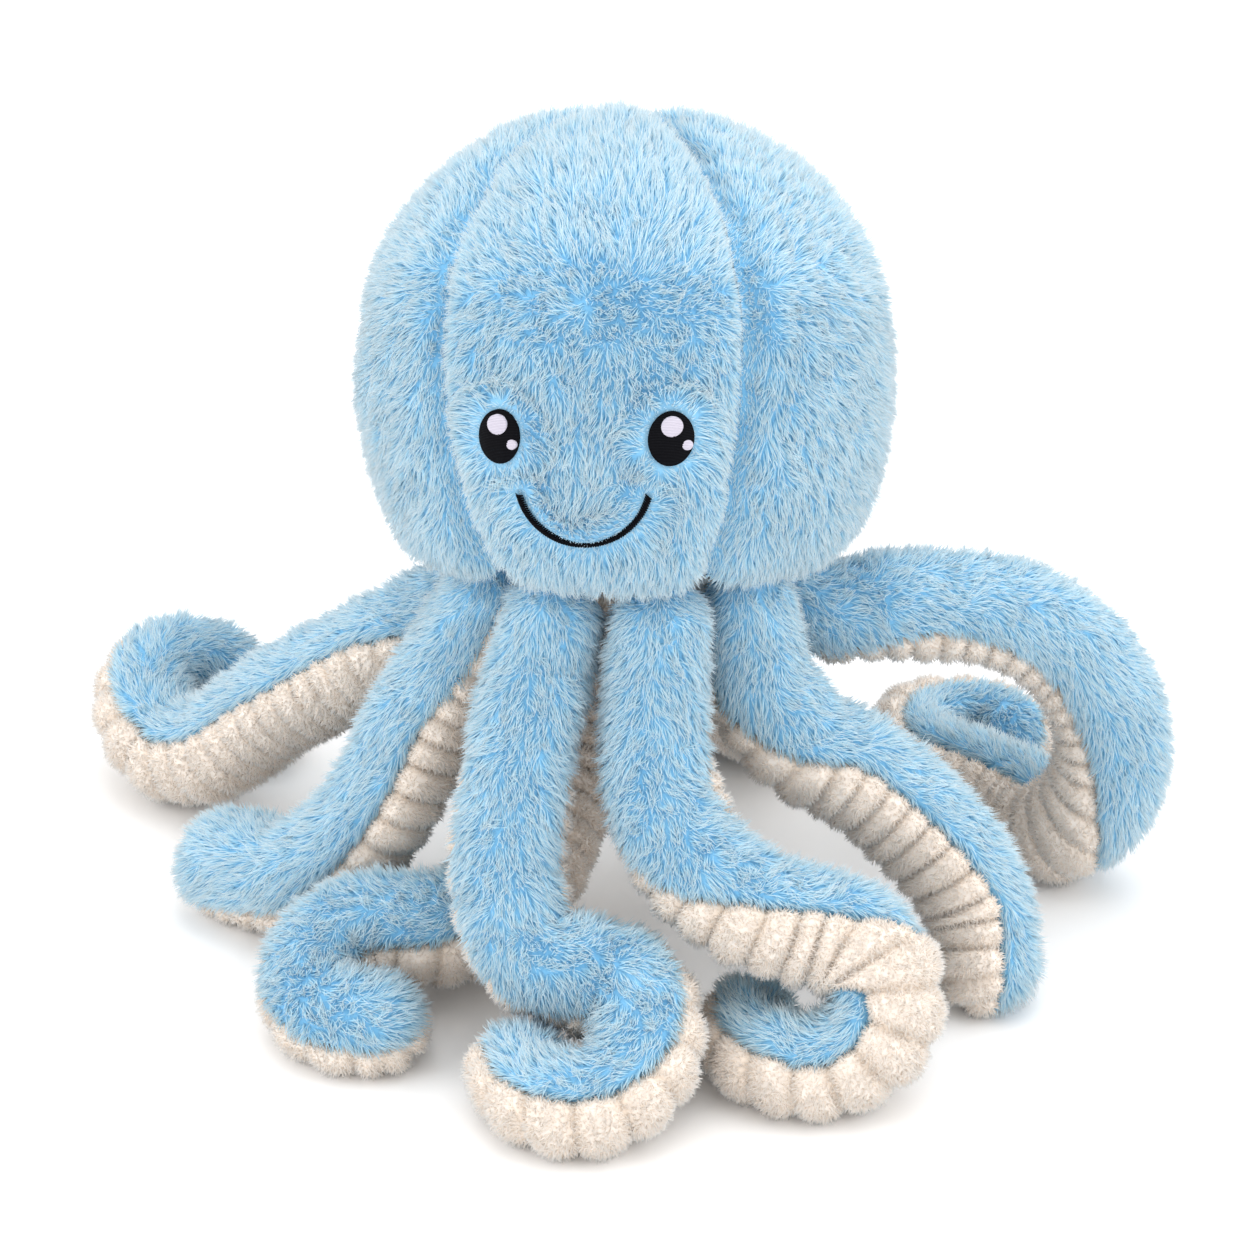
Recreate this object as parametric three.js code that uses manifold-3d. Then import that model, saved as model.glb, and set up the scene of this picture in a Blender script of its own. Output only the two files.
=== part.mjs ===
import * as THREE from "three";
import { mergeVertices } from "three/addons/utils/BufferGeometryUtils.js";
import Module from "manifold-3d";

// A plush octopus: a round stuffed head on a ring of eight stuffed legs.
// Each leg is a ball where it is sewn under the head, then a tube that runs out to the floor and curls.
// Long blue pile covers the head and the top of each leg. A cream ribbed strip is each leg's underside.
// Millimetres, Z up, the floor at Z 0. The face looks along -Y, turned a little towards -X.
// Left is -X and right is +X, and the legs of a side are numbered from the face to the back.

// Driving dimensions. Outer sizes are to the middle of the pile.
const HEAD_RADIUS = 86;
const NECK_HEIGHT = 126.6;
const LEG_REACH = 150;
const LEG_ROOT_RADIUS = 16.9;
const LEG_FULL_RADIUS = 18.5;
const LEG_TIP_RADIUS = 15.6;
const COVER_THICKNESS = 3;
const SEAM_GAP = 0.3;
const ROOT_SPACE = 1.8;
const FLOOR_FLAT = 0.5;
const EYE_WIDTH = 14.7;
const EYE_HEIGHT = 18;
const EYE_SPACING = 54;
const EYE_THICKNESS = 1.2;
const GLINT_DIAMETER = 6.4;
const SMALL_GLINT_DIAMETER = 3.2;
const GLINT_THICKNESS = 0.6;
const MOUTH_WIDTH = 41;
const MOUTH_DEPTH = 16;
const MOUTH_THREAD = 1.6;
const MOUTH_BELOW_EYES = 18.5;
const EYES_BELOW_MIDDLE = 4.5;

// Angles in degrees, and counts.
const HEAD_LEAN = 12;
const SEAM_LEAN = 13;
const FACE_TURN = -9.2;
const FACE_ROLL = 1.2;
const LEG_COUNT = 8;
const PANEL_COUNT = 5;
const HEAD_SEGMENTS = 30;
const HEAD_RINGS = 9;
const EYE_SEGMENTS = 10;
const GLINT_SEGMENTS = 6;
const MOUTH_STEPS = 16;
const SECTION_STEPS = 6;
const LINING_STEPS = 3;
const ROOT_CAP_ANGLES = [0, 22, 45, 68];
const TIP_CAP_ANGLES = [62, 32, 0];
const CURL_STEP = 30;

// How round the head's outline is above and below its middle: 2 is a circle, and more is fuller.
const CROWN_FULLNESS = 2.15;
const JAW_FULLNESS = 2.45;

// How suddenly a curl that rises does so: 1 is at once, and more is softer.
const RISE_SHARPNESS = 1.3;

// Shares of other sizes.
const BASE_DROP_SHARE = 0.66;
const FULL_FROM_SHARE = 0.4;
const FULL_TO_SHARE = 0.6;
const SECTION_STEP_SHARE = 0.85;
const CURL_FACING_UP_SHARE = 0.62;
const GLINT_RISE_SHARE = 0.23;
const SMALL_GLINT_SIDE_SHARE = 0.32;
const SMALL_GLINT_DROP_SHARE = 0.11;

// Worked out from the sizes above.
const LEG_STEP = 360 / LEG_COUNT;
const RING_RADIUS = (LEG_ROOT_RADIUS + ROOT_SPACE / 2) / Math.sin(radians(LEG_STEP / 2));
const BASE_HEIGHT = -BASE_DROP_SHARE * HEAD_RADIUS;
const SECTION_ROUNDNESS = 2 / (1 + Math.cos(Math.PI / 2 / SECTION_STEPS));

// The head's base rests on the corners of the leg roots, and the roots' flats leave a gap under it.
const HEAD_RISE = LEG_ROOT_RADIUS * SECTION_ROUNDNESS - BASE_HEIGHT;
const FAR = 4 * (HEAD_RADIUS + LEG_REACH);

// The legs. Each row of a run is a point and the way that the blue top looks there. The point is x and y
// in shares of the reach from the neck's middle, and how far the leg's underside is off the floor in
// shares of the neck's height. A curl goes on from the run's end round a middle that lies that way. Its
// radius is in shares of the leg's full radius, and flatShare is how much of that lies level.
// Its end and rise are in shares of the neck's height, and its drop is over by that share of it.
const LEGS = [
  {
    name: "leg_left_1",
    side: -1,
    tipShare: 1,
    runShares: [
      [-0.184, -0.28, 0.83, -0.1, -1, 0], [-0.225, -0.38, 0.67, -0.1, -1, 0.1],
      [-0.25, -0.47, 0.51, -0.1, -1, 0.1], [-0.26, -0.56, 0.34, 0, -1, 0.2],
      [-0.2, -0.66, 0.2, 0.1, -0.9, 0.5], [-0.06, -0.7, 0.16, 0, -0.5, 0.9],
    ],
    curls: [{ toward: [0, -1], radiusShare: 1.08, turn: 255, endShare: 0, dropShare: 0.65 }],
  },
  {
    name: "leg_left_2",
    side: -1,
    tipShare: 1.24,
    runShares: [
      [-0.39, -0.09, 0.7, -0.9, -0.1, 0.3], [-0.46, -0.11, 0.55, -0.9, 0, 0.4],
      [-0.53, -0.14, 0.38, -0.85, 0, 0.5], [-0.62, -0.15, 0.21, -0.7, 0, 0.7],
      [-0.77, -0.11, 0.05, -0.5, -0.2, 0.85], [-0.92, 0, 0, -0.3, -0.5, 0.8],
    ],
    curls: [],
  },
  {
    name: "leg_left_3",
    side: -1,
    tipShare: 1,
    runShares: [
      [-0.4, 0.2, 0.7, -0.3, 0.5, 0.8], [-0.54, 0.22, 0.58, -0.2, 0.5, 0.8],
      [-0.7, 0.3, 0.42, -0.2, 0.5, 0.8], [-0.86, 0.38, 0.26, -0.2, 0.5, 0.8],
      [-1.01, 0.46, 0.08, -0.1, 0.55, 0.8], [-1.13, 0.54, 0.03, 0.1, 0.5, 0.8],
    ],
    curls: [
      { toward: [0.3, 0.95], radiusShare: 1.2, turn: 205, endShare: 0.04, dropShare: 1, riseShare: 0.14 },
    ],
  },
  {
    name: "leg_left_4",
    side: -1,
    tipShare: 1.05,
    runShares: [
      [-0.09, 0.26, 0.54, -0.2, 1, 0], [-0.15, 0.11, 0.27, -0.9, 0.4, 0.3],
      [-0.22, -0.1, 0.1, -0.7, 0.3, 0.7], [-0.32, -0.27, 0.05, -0.5, 0.1, 0.9],
      [-0.45, -0.37, 0.07, -0.2, 0, 1], [-0.59, -0.39, 0.09, 0, -0.1, 1],
    ],
    curls: [{ toward: [0, -1], radiusShare: 1.05, turn: 180, endShare: 0, dropShare: 0.65 }],
  },
  {
    name: "leg_right_1",
    side: 1,
    tipShare: 1,
    runShares: [
      [0.063, -0.315, 0.84, 0.1, -1, 0], [0.058, -0.37, 0.69, 0, -1, 0.2],
      [0.07, -0.45, 0.55, -0.2, -0.9, 0.4], [0.13, -0.55, 0.43, -0.2, -0.3, 0.9],
      [0.26, -0.64, 0.34, 0, 0.5, 0.86], [0.42, -0.67, 0.28, 0, 0.94, 0.34],
    ],
    curls: [
      {
        toward: [0, -1],
        radiusShare: 1.18,
        flatShare: 0.5,
        turn: 180,
        endShare: 0,
        dropShare: 1,
        facings: [[-0.1, 0.88, -0.48], [-0.75, 0.57, -0.33], [-0.67, 0.6, 0.43], [0, 0.5, 0.86]],
      },
      { toward: [0, 1], radiusShare: 1.1, turn: 100, endShare: 0, dropShare: 1 },
    ],
  },
  {
    name: "leg_right_2",
    side: 1,
    tipShare: 1.08,
    runShares: [
      [0.3, -0.19, 0.71, 0.85, -0.5, 0.1], [0.39, -0.23, 0.55, 0.7, 0, 0.7],
      [0.52, -0.24, 0.46, 0.57, 0.38, 0.72], [0.64, -0.26, 0.35, 0.6, 0.35, 0.7],
      [0.74, -0.3, 0.23, 0.7, 0.4, 0.6], [0.8, -0.34, 0.11, 0.8, 0.4, 0.3],
      [0.81, -0.4, 0, 0.85, 0.4, 0.3],
    ],
    curls: [],
  },
  {
    name: "leg_right_3",
    side: 1,
    tipShare: 1,
    runShares: [
      [0.46, 0.04, 0.79, 0.1, -0.3, 0.95], [0.62, 0.04, 0.8, 0.1, -0.35, 0.9],
      [0.77, 0.06, 0.78, 0.1, -0.4, 0.9], [0.91, 0.08, 0.72, 0.35, -0.55, 0.75],
      [1.03, 0.1, 0.61, 0.55, -0.7, 0.45], [1.11, 0.1, 0.46, 0.6, -0.8, 0.15],
      [1.14, 0.09, 0.31, 0.7, -0.65, 0.15], [1.12, 0.09, 0.17, 0.85, -0.3, 0.2],
      [1.07, 0.12, 0.06, 0.85, 0.15, 0.2], [1.01, 0.2, 0, 0.7, 0.45, 0.5],
      [0.96, 0.3, 0, 0.5, 0.6, 0.6], [0.85, 0.42, 0, 0.4, 0.7, 0.55], [0.75, 0.52, 0, 0.4, 0.7, 0.55],
    ],
    curls: [{ toward: [0.7, 0.7], radiusShare: 1.08, turn: 200, endShare: 0, dropShare: 1 }],
  },
  {
    name: "leg_right_4",
    side: 1,
    tipShare: 1,
    runShares: [
      [0.2, 0.35, 0.57, 0.4, 0.9, 0], [0.24, 0.45, 0.36, 0.4, 0.8, 0.4],
      [0.29, 0.59, 0.16, 0.3, 0.6, 0.7], [0.33, 0.72, 0.04, 0, 0.2, 1],
    ],
    curls: [{ toward: [-0.95, 0.3], radiusShare: 1.1, turn: 200, endShare: 0, dropShare: 1 }],
  },
];

const PILE_BLUE = new THREE.MeshStandardMaterial({ color: 0xa4d0ee, roughness: 0.95, metalness: 0 });
const PILE_CREAM = new THREE.MeshStandardMaterial({ color: 0xefe6da, roughness: 0.95, metalness: 0 });
const FILLING_WHITE = new THREE.MeshStandardMaterial({ color: 0xf6f6f2, roughness: 1, metalness: 0 });
const THREAD_BLACK = new THREE.MeshStandardMaterial({ color: 0x141417, roughness: 0.6, metalness: 0 });
const THREAD_WHITE = new THREE.MeshStandardMaterial({ color: 0xf4f3f7, roughness: 0.6, metalness: 0 });

const UP = new THREE.Vector3(0, 0, 1);

function radians(degrees) {
  return THREE.MathUtils.degToRad(degrees);
}

const wasm = await Module();
wasm.setup();

// Turns a closed geometry into a solid that can be cut.
function solidOf(geometry) {
  const bare = geometry.clone();
  bare.deleteAttribute("normal");
  bare.deleteAttribute("uv");
  const merged = mergeVertices(bare, HEAD_RADIUS * 1e-6);
  return new wasm.Manifold(
    new wasm.Mesh({
      numProp: 3,
      vertProperties: merged.attributes.position.array,
      triVerts: new Uint32Array(merged.index.array),
    }),
  );
}

function geometryOf(solid) {
  const mesh = solid.getMesh();
  const geometry = new THREE.BufferGeometry();
  geometry.setAttribute("position", new THREE.BufferAttribute(mesh.vertProperties, 3));
  geometry.setIndex(new THREE.BufferAttribute(mesh.triVerts, 1));
  geometry.computeVertexNormals();
  return geometry;
}

// A closed geometry from points and faces, turned so that its faces point out.
function closedGeometry(points, faces) {
  let volume = 0;
  for (const [a, b, c] of faces) {
    volume += points[a].dot(points[b].clone().cross(points[c]));
  }
  const outward = volume < 0 ? faces.map(([a, b, c]) => [a, c, b]) : faces;
  const geometry = new THREE.BufferGeometry().setFromPoints(points);
  geometry.setIndex(outward.flat());
  geometry.computeVertexNormals();
  return geometry;
}

function named(name, geometry, material) {
  const mesh = new THREE.Mesh(geometry, material);
  mesh.name = name;
  return mesh;
}

// Where a leg's ball root sits on the ring under the head.
function rootOf(leg) {
  const place = LEGS.filter((other) => other.side === leg.side).indexOf(leg) + 0.5;
  const angle = radians(FACE_TURN + leg.side * place * LEG_STEP);
  const root = new THREE.Vector3(Math.sin(angle), -Math.cos(angle), 0).multiplyScalar(RING_RADIUS);
  root.applyAxisAngle(new THREE.Vector3(1, 0, 0), -radians(HEAD_LEAN));
  return root.add(new THREE.Vector3(0, 0, NECK_HEIGHT));
}

// The leg's radius at a share of its length: it swells from its root and thins towards its tip.
function legRadius(leg, share) {
  const swell = THREE.MathUtils.smoothstep(share, 0, FULL_FROM_SHARE);
  const thin = THREE.MathUtils.smoothstep(share, FULL_TO_SHARE, 1);
  const grown = THREE.MathUtils.lerp(LEG_ROOT_RADIUS, LEG_FULL_RADIUS, swell);
  return THREE.MathUtils.lerp(grown, leg.tipShare * LEG_TIP_RADIUS, thin);
}

// The points and facings of a leg's route, with z the height of the leg's underside.
function routeOf(leg) {
  const root = rootOf(leg);
  const points = [root.setZ(root.z - LEG_ROOT_RADIUS)];
  const facings = [new THREE.Vector3(...leg.runShares[0].slice(3)).normalize()];
  for (const [x, y, z, ...facing] of leg.runShares) {
    points.push(new THREE.Vector3(x * LEG_REACH, y * LEG_REACH, z * NECK_HEIGHT));
    facings.push(new THREE.Vector3(...facing).normalize());
  }
  for (const curl of leg.curls) {
    addCurl(curl, points, facings);
  }
  return { points, facings };
}

// Adds a curl's points. Seen from above it is part of a circle, or of an oval where the curl leans.
function addCurl(curl, points, facings) {
  const { flatShare = 1, riseShare = 0 } = curl;
  const from = points.at(-1);
  const start = facings.at(-1);
  const ahead = from.clone().sub(points.at(-2)).setZ(0).normalize();
  const toward = new THREE.Vector3(...curl.toward, 0);
  toward.addScaledVector(ahead, -toward.dot(ahead)).normalize();
  const radius = curl.radiusShare * LEG_FULL_RADIUS;
  const steps = Math.round(curl.turn / CURL_STEP);
  for (let i = 1; i <= steps; i += 1) {
    const share = i / steps;
    const angle = radians(curl.turn * share);
    const outward = ahead.clone().multiplyScalar(Math.sin(angle));
    outward.addScaledVector(toward, -Math.cos(angle));
    const point = from.clone().addScaledVector(ahead, radius * Math.sin(angle));
    point.addScaledVector(toward, flatShare * radius * (1 - Math.cos(angle)));
    const drop = THREE.MathUtils.smoothstep(share, 0, curl.dropShare);
    point.z = THREE.MathUtils.lerp(from.z, curl.endShare * NECK_HEIGHT, drop);
    point.z += riseShare * NECK_HEIGHT * Math.sin(Math.PI * share) ** RISE_SHARPNESS;
    points.push(point);
    const facing = outward.multiplyScalar(CURL_FACING_UP_SHARE - 1).addScaledVector(UP, CURL_FACING_UP_SHARE);
    facings.push(curl.facings ? keyAt([start, ...curl.facings], share) : facing.normalize());
  }
}

// A facing between evenly spaced ones.
function keyAt(keys, share) {
  const at = share * (keys.length - 1);
  const low = Math.min(Math.floor(at), keys.length - 2);
  const [a, b] = [keys[low], keys[low + 1]].map((key) => new THREE.Vector3(...key).normalize());
  return a.lerp(b, at - low).normalize();
}

// A leg's stations, from the pole of its round root to the pole of its round tip. Each has the middle
// and the direction of a section, its radius less an inset, and the way that the blue top looks. The
// outside's corners stand out by as much as its flats sink in.
function stationsOf(leg) {
  const { points, facings } = routeOf(leg);
  const path = new THREE.CatmullRomCurve3(points, false, "centripetal");
  path.arcLengthDivisions = 400;
  const facing = new THREE.CatmullRomCurve3(facings, false, "centripetal");
  const length = path.getLength();
  const middleAt = (share) => {
    const lift = legRadius(leg, share) - FLOOR_FLAT;
    return path.getPointAt(share).add(new THREE.Vector3(0, 0, lift));
  };
  const frameAt = (share) => {
    const nudge = 0.5 / path.arcLengthDivisions;
    const before = middleAt(Math.max(share - nudge, 0));
    const along = middleAt(Math.min(share + nudge, 1)).sub(before).normalize();
    const top = facing.getPoint(path.getUtoTmapping(share));
    top.addScaledVector(along, -top.dot(along)).normalize();
    const side = along.clone().cross(top);
    return { middle: middleAt(share), along, top, side };
  };
  const stations = ROOT_CAP_ANGLES.map((angle) => ({ share: 0, end: -1, angle }));
  const bodySteps = Math.round(length / (SECTION_STEP_SHARE * LEG_ROOT_RADIUS));
  for (let i = 0; i <= bodySteps; i += 1) {
    stations.push({ share: i / bodySteps, end: 0, angle: 90 });
  }
  for (const angle of TIP_CAP_ANGLES) {
    stations.push({ share: 1, end: 1, angle });
  }
  return stations.map(({ share, end, angle }) => {
    const frame = frameAt(share);
    const at = (inset) => {
      const full = inset === 0 ? legRadius(leg, share) * SECTION_ROUNDNESS : legRadius(leg, share) - inset;
      const along = end * full * Math.cos(radians(angle));
      return {
        middle: frame.middle.clone().addScaledVector(frame.along, along),
        radius: full * Math.sin(radians(angle)),
      };
    };
    return { ...frame, at, pole: angle === 0 };
  });
}

// A row of points across a section, from one angle to another, measured from the blue top.
function sectionPoints(station, inset, from, to, steps, shift) {
  const { middle, radius } = station.at(inset);
  const count = station.pole ? 0 : steps;
  const row = [];
  for (let i = 0; i <= count; i += 1) {
    const angle = radians(from + ((to - from) * i) / steps);
    const point = middle.clone();
    point.addScaledVector(station.top, radius * Math.cos(angle) + shift);
    point.addScaledVector(station.side, radius * Math.sin(angle));
    row.push(point);
  }
  return row;
}

// Joins two rows of point numbers with faces, turned over where they look inwards. A pole's row is one
// point. Each pair is split the same way, so that two surfaces side by side don't cross.
function stitch(faces, rowA, rowB, inward = false) {
  const count = Math.max(rowA.length, rowB.length);
  const pick = (row, i) => (row.length === 1 ? row[0] : row[i]);
  for (let i = 0; i + 1 < count; i += 1) {
    const [a, b, c, d] = [pick(rowA, i), pick(rowA, i + 1), pick(rowB, i + 1), pick(rowB, i)];
    if (a !== b) {
      faces.push(inward ? [a, c, b] : [a, b, c]);
    }
    if (c !== d) {
      faces.push(inward ? [a, d, c] : [a, c, d]);
    }
  }
}

// Half of a leg's cover, on the blue top's side or the underside's, with its lining side closed.
function halfCover(stations, side) {
  const points = [];
  const faces = [];
  const shift = (side * SEAM_GAP) / 2;
  const from = side > 0 ? -90 : 90;
  const rows = stations.map((station) => {
    const numbered = (inset, steps) =>
      sectionPoints(station, inset, from, from + 180, steps, shift).map((p) => points.push(p) - 1);
    return { outer: numbered(0, SECTION_STEPS), inner: numbered(COVER_THICKNESS, LINING_STEPS) };
  });
  for (let i = 0; i + 1 < rows.length; i += 1) {
    const [here, next] = [rows[i], rows[i + 1]];
    stitch(faces, here.outer, next.outer);
    stitch(faces, here.inner, next.inner, true);
    stitch(faces, [here.outer[0], here.inner[0]], [next.outer[0], next.inner[0]], true);
    stitch(faces, [here.outer.at(-1), here.inner.at(-1)], [next.outer.at(-1), next.inner.at(-1)]);
  }
  return closedGeometry(points, faces);
}

// The filling inside a leg's covers.
function legFilling(stations) {
  const points = [];
  const faces = [];
  const inset = COVER_THICKNESS + SEAM_GAP + SEAM_GAP / 2;
  const rows = stations.map((station) => {
    const row = sectionPoints(station, inset, -90, 270, 2 * LINING_STEPS, 0);
    const numbers = row.slice(0, station.pole ? 1 : -1).map((p) => points.push(p) - 1);
    return station.pole ? numbers : [...numbers, numbers[0]];
  });
  for (let i = 0; i + 1 < rows.length; i += 1) {
    stitch(faces, rows[i], rows[i + 1]);
  }
  return closedGeometry(points, faces);
}

// Everything under the floor's plane, which flattens what lies on it.
function underFloor() {
  const slab = new THREE.BoxGeometry(FAR, FAR, HEAD_RADIUS);
  slab.translate(0, 0, -HEAD_RADIUS / 2);
  return solidOf(slab);
}

function makeLeg(leg) {
  const stations = stationsOf(leg);
  const underside = solidOf(halfCover(stations, -1)).subtract(underFloor());
  const top = solidOf(halfCover(stations, 1)).subtract(underFloor());
  const group = new THREE.Group();
  group.add(
    named(`${leg.name}_top`, geometryOf(top), PILE_BLUE),
    named(`${leg.name}_underside`, geometryOf(underside), PILE_CREAM),
    named(`${leg.name}_filling`, legFilling(stations), FILLING_WHITE),
  );
  return group;
}

// The head's radius at a height from its middle, for a head with its outside moved in by an inset.
function headRadiusAt(height, inset) {
  const size = HEAD_RADIUS - inset;
  const fullness = height > 0 ? CROWN_FULLNESS : JAW_FULLNESS;
  return size * (1 - Math.min(Math.abs(height) / size, 1) ** fullness) ** (1 / fullness);
}

// The head's outline from its crown down to a height, for a lathe.
function headOutline(inset, bottom) {
  const size = HEAD_RADIUS - inset;
  const outline = [];
  const lowest = Math.acos(bottom / size);
  for (let i = 0; i <= HEAD_RINGS; i += 1) {
    const height = size * Math.cos((lowest * i) / HEAD_RINGS);
    outline.push(new THREE.Vector2(i === 0 ? 0 : headRadiusAt(height, inset), height));
  }
  return outline;
}

// Turned about the head's own axis, which is made upright.
function turned(outline, segments) {
  const geometry = new THREE.LatheGeometry(outline, segments);
  return geometry.rotateX(radians(90));
}

function headShell() {
  const outside = headOutline(0, BASE_HEIGHT);
  const inside = headOutline(COVER_THICKNESS, BASE_HEIGHT).reverse();
  return solidOf(turned([...outside, ...inside].reverse(), HEAD_SEGMENTS));
}

// The wedge between two seams, with half a gap taken off each side.
function seamWedge(middleAngle) {
  const half = radians(180 / PANEL_COUNT);
  const outline = new THREE.Shape();
  outline.moveTo(0, 0);
  outline.lineTo(FAR * Math.sin(half), -FAR * Math.cos(half));
  outline.lineTo(-FAR * Math.sin(half), -FAR * Math.cos(half));
  outline.closePath();
  const wedge = new THREE.ExtrudeGeometry(outline, { depth: FAR, bevelEnabled: false });
  wedge.translate(0, -SEAM_GAP / 2 / Math.sin(half), -FAR / 2);
  wedge.rotateZ(radians(middleAngle));
  wedge.rotateX(-radians(SEAM_LEAN));
  return solidOf(wedge);
}

const PANEL_NAMES = ["face_panel", "right_panel", "back_right_panel", "back_left_panel", "left_panel"];

function headPanels() {
  const shell = headShell();
  return PANEL_NAMES.map((name, i) => {
    const wedge = seamWedge(FACE_TURN + (i * 360) / PANEL_COUNT);
    return named(name, geometryOf(shell.intersect(wedge)), PILE_BLUE);
  });
}

function basePanel() {
  const radius = headRadiusAt(BASE_HEIGHT, COVER_THICKNESS + SEAM_GAP) * Math.cos(Math.PI / HEAD_SEGMENTS);
  const disc = new THREE.CylinderGeometry(radius, radius, COVER_THICKNESS, HEAD_SEGMENTS);
  disc.rotateX(radians(90));
  disc.translate(0, 0, BASE_HEIGHT + COVER_THICKNESS / 2);
  return named("base_panel", disc, PILE_BLUE);
}

function headFilling() {
  const inset = COVER_THICKNESS + 2 * SEAM_GAP;
  const bottom = BASE_HEIGHT + COVER_THICKNESS + SEAM_GAP;
  const outline = headOutline(inset, bottom);
  outline.push(new THREE.Vector2(0, bottom));
  return named("head_filling", turned(outline.reverse(), HEAD_SEGMENTS), FILLING_WHITE);
}

// A place on the face: across and up from between the eyes, with the face's roll, and out along the
// head's surface there. It is the matrix that puts flat work, made in X and Y, on the head.
function facePlace(across, up, out) {
  const roll = radians(FACE_ROLL);
  const x = across * Math.cos(roll) + up * Math.sin(roll);
  const height = up * Math.cos(roll) + across * Math.sin(roll) - EYES_BELOW_MIDDLE;
  const pointAt = (level) => {
    const radius = headRadiusAt(level, 0);
    const angle = radians(FACE_TURN) + Math.asin(x / radius);
    return new THREE.Vector3(radius * Math.sin(angle), -radius * Math.cos(angle), level);
  };
  const point = pointAt(height);
  const upward = pointAt(height + SEAM_GAP).sub(pointAt(height - SEAM_GAP)).normalize();
  const level = new THREE.Vector3(-point.y, point.x, 0).normalize();
  const normal = level.clone().cross(upward).normalize();
  point.addScaledVector(normal, out);
  return new THREE.Matrix4().makeBasis(level, upward, normal).setPosition(point);
}

// The head's outside with a gap on it, which cuts the back of what is sewn on it to fit.
function headBlock() {
  const outline = headOutline(-SEAM_GAP, BASE_HEIGHT);
  outline.push(new THREE.Vector2(0, BASE_HEIGHT));
  return solidOf(turned(outline.reverse(), HEAD_SEGMENTS));
}

function ovalDisc(width, height, thickness, curveSegments) {
  const outline = new THREE.Shape();
  outline.absellipse(0, 0, width / 2, height / 2, 0, 2 * Math.PI, false);
  return new THREE.ExtrudeGeometry(outline, {
    depth: thickness,
    bevelEnabled: false,
    curveSegments,
  });
}

function makeEye(sideName, side, block) {
  const across = (side * EYE_SPACING) / 2;
  const sunk = COVER_THICKNESS / 2;
  const oval = ovalDisc(EYE_WIDTH, EYE_HEIGHT, sunk + EYE_THICKNESS, EYE_SEGMENTS);
  oval.applyMatrix4(facePlace(across, 0, -sunk));
  const onEye = facePlace(across, 0, EYE_THICKNESS + SEAM_GAP);
  const glint = ovalDisc(GLINT_DIAMETER, GLINT_DIAMETER, GLINT_THICKNESS, GLINT_SEGMENTS);
  glint.translate(0, GLINT_RISE_SHARE * EYE_HEIGHT, 0);
  glint.applyMatrix4(onEye);
  const small = ovalDisc(SMALL_GLINT_DIAMETER, SMALL_GLINT_DIAMETER, GLINT_THICKNESS, GLINT_SEGMENTS);
  small.translate(SMALL_GLINT_SIDE_SHARE * EYE_WIDTH, -SMALL_GLINT_DROP_SHARE * EYE_HEIGHT, 0);
  small.applyMatrix4(onEye);
  return [
    named(`${sideName}_eye`, geometryOf(solidOf(oval).subtract(block)), THREAD_BLACK),
    named(`${sideName}_eye_glint`, glint, THREAD_WHITE),
    named(`${sideName}_eye_small_glint`, small, THREAD_WHITE),
  ];
}

// The smile: a thread along an arc of a circle whose chord and depth are the mouth's.
function makeMouth(block) {
  const half = MOUTH_WIDTH / 2;
  const radius = (half ** 2 + MOUTH_DEPTH ** 2) / (2 * MOUTH_DEPTH);
  const sweep = Math.asin(Math.min(half / radius, 1));
  const reach = MOUTH_DEPTH > radius ? Math.PI - sweep : sweep;
  const points = [];
  for (let i = 0; i <= MOUTH_STEPS; i += 1) {
    const angle = reach * ((2 * i) / MOUTH_STEPS - 1);
    const drop = MOUTH_DEPTH - radius + radius * Math.cos(angle);
    const place = facePlace(radius * Math.sin(angle), -MOUTH_BELOW_EYES - drop, MOUTH_THREAD / 4);
    points.push(new THREE.Vector3().setFromMatrixPosition(place));
  }
  const section = new THREE.Shape();
  section.absarc(0, 0, MOUTH_THREAD / 2, 0, 2 * Math.PI, false);
  const thread = new THREE.ExtrudeGeometry(section, {
    steps: MOUTH_STEPS,
    curveSegments: 3,
    extrudePath: new THREE.CatmullRomCurve3(points),
  });
  return named("mouth", geometryOf(solidOf(thread).subtract(block)), THREAD_BLACK);
}

// The head in its own upright frame, leant back over the ring of leg roots.
function makeHead() {
  const block = headBlock();
  const head = new THREE.Group();
  head.add(...headPanels(), basePanel(), headFilling(), makeMouth(block));
  head.add(...makeEye("left", -1, block), ...makeEye("right", 1, block));
  head.rotation.x = -radians(HEAD_LEAN);
  head.position.set(0, 0, NECK_HEIGHT);
  head.translateZ(HEAD_RISE);
  return head;
}

const octopus = new THREE.Group();
octopus.add(makeHead());
for (const leg of LEGS) {
  octopus.add(makeLeg(leg));
}

// The origin is on the floor, under the middle of the octopus's box.
octopus.updateMatrixWorld(true);
const box = new THREE.Box3().setFromObject(octopus, true);
const centre = box.getCenter(new THREE.Vector3());
octopus.position.set(-centre.x, -centre.y, -box.min.z);

export default octopus;
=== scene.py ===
import math

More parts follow.
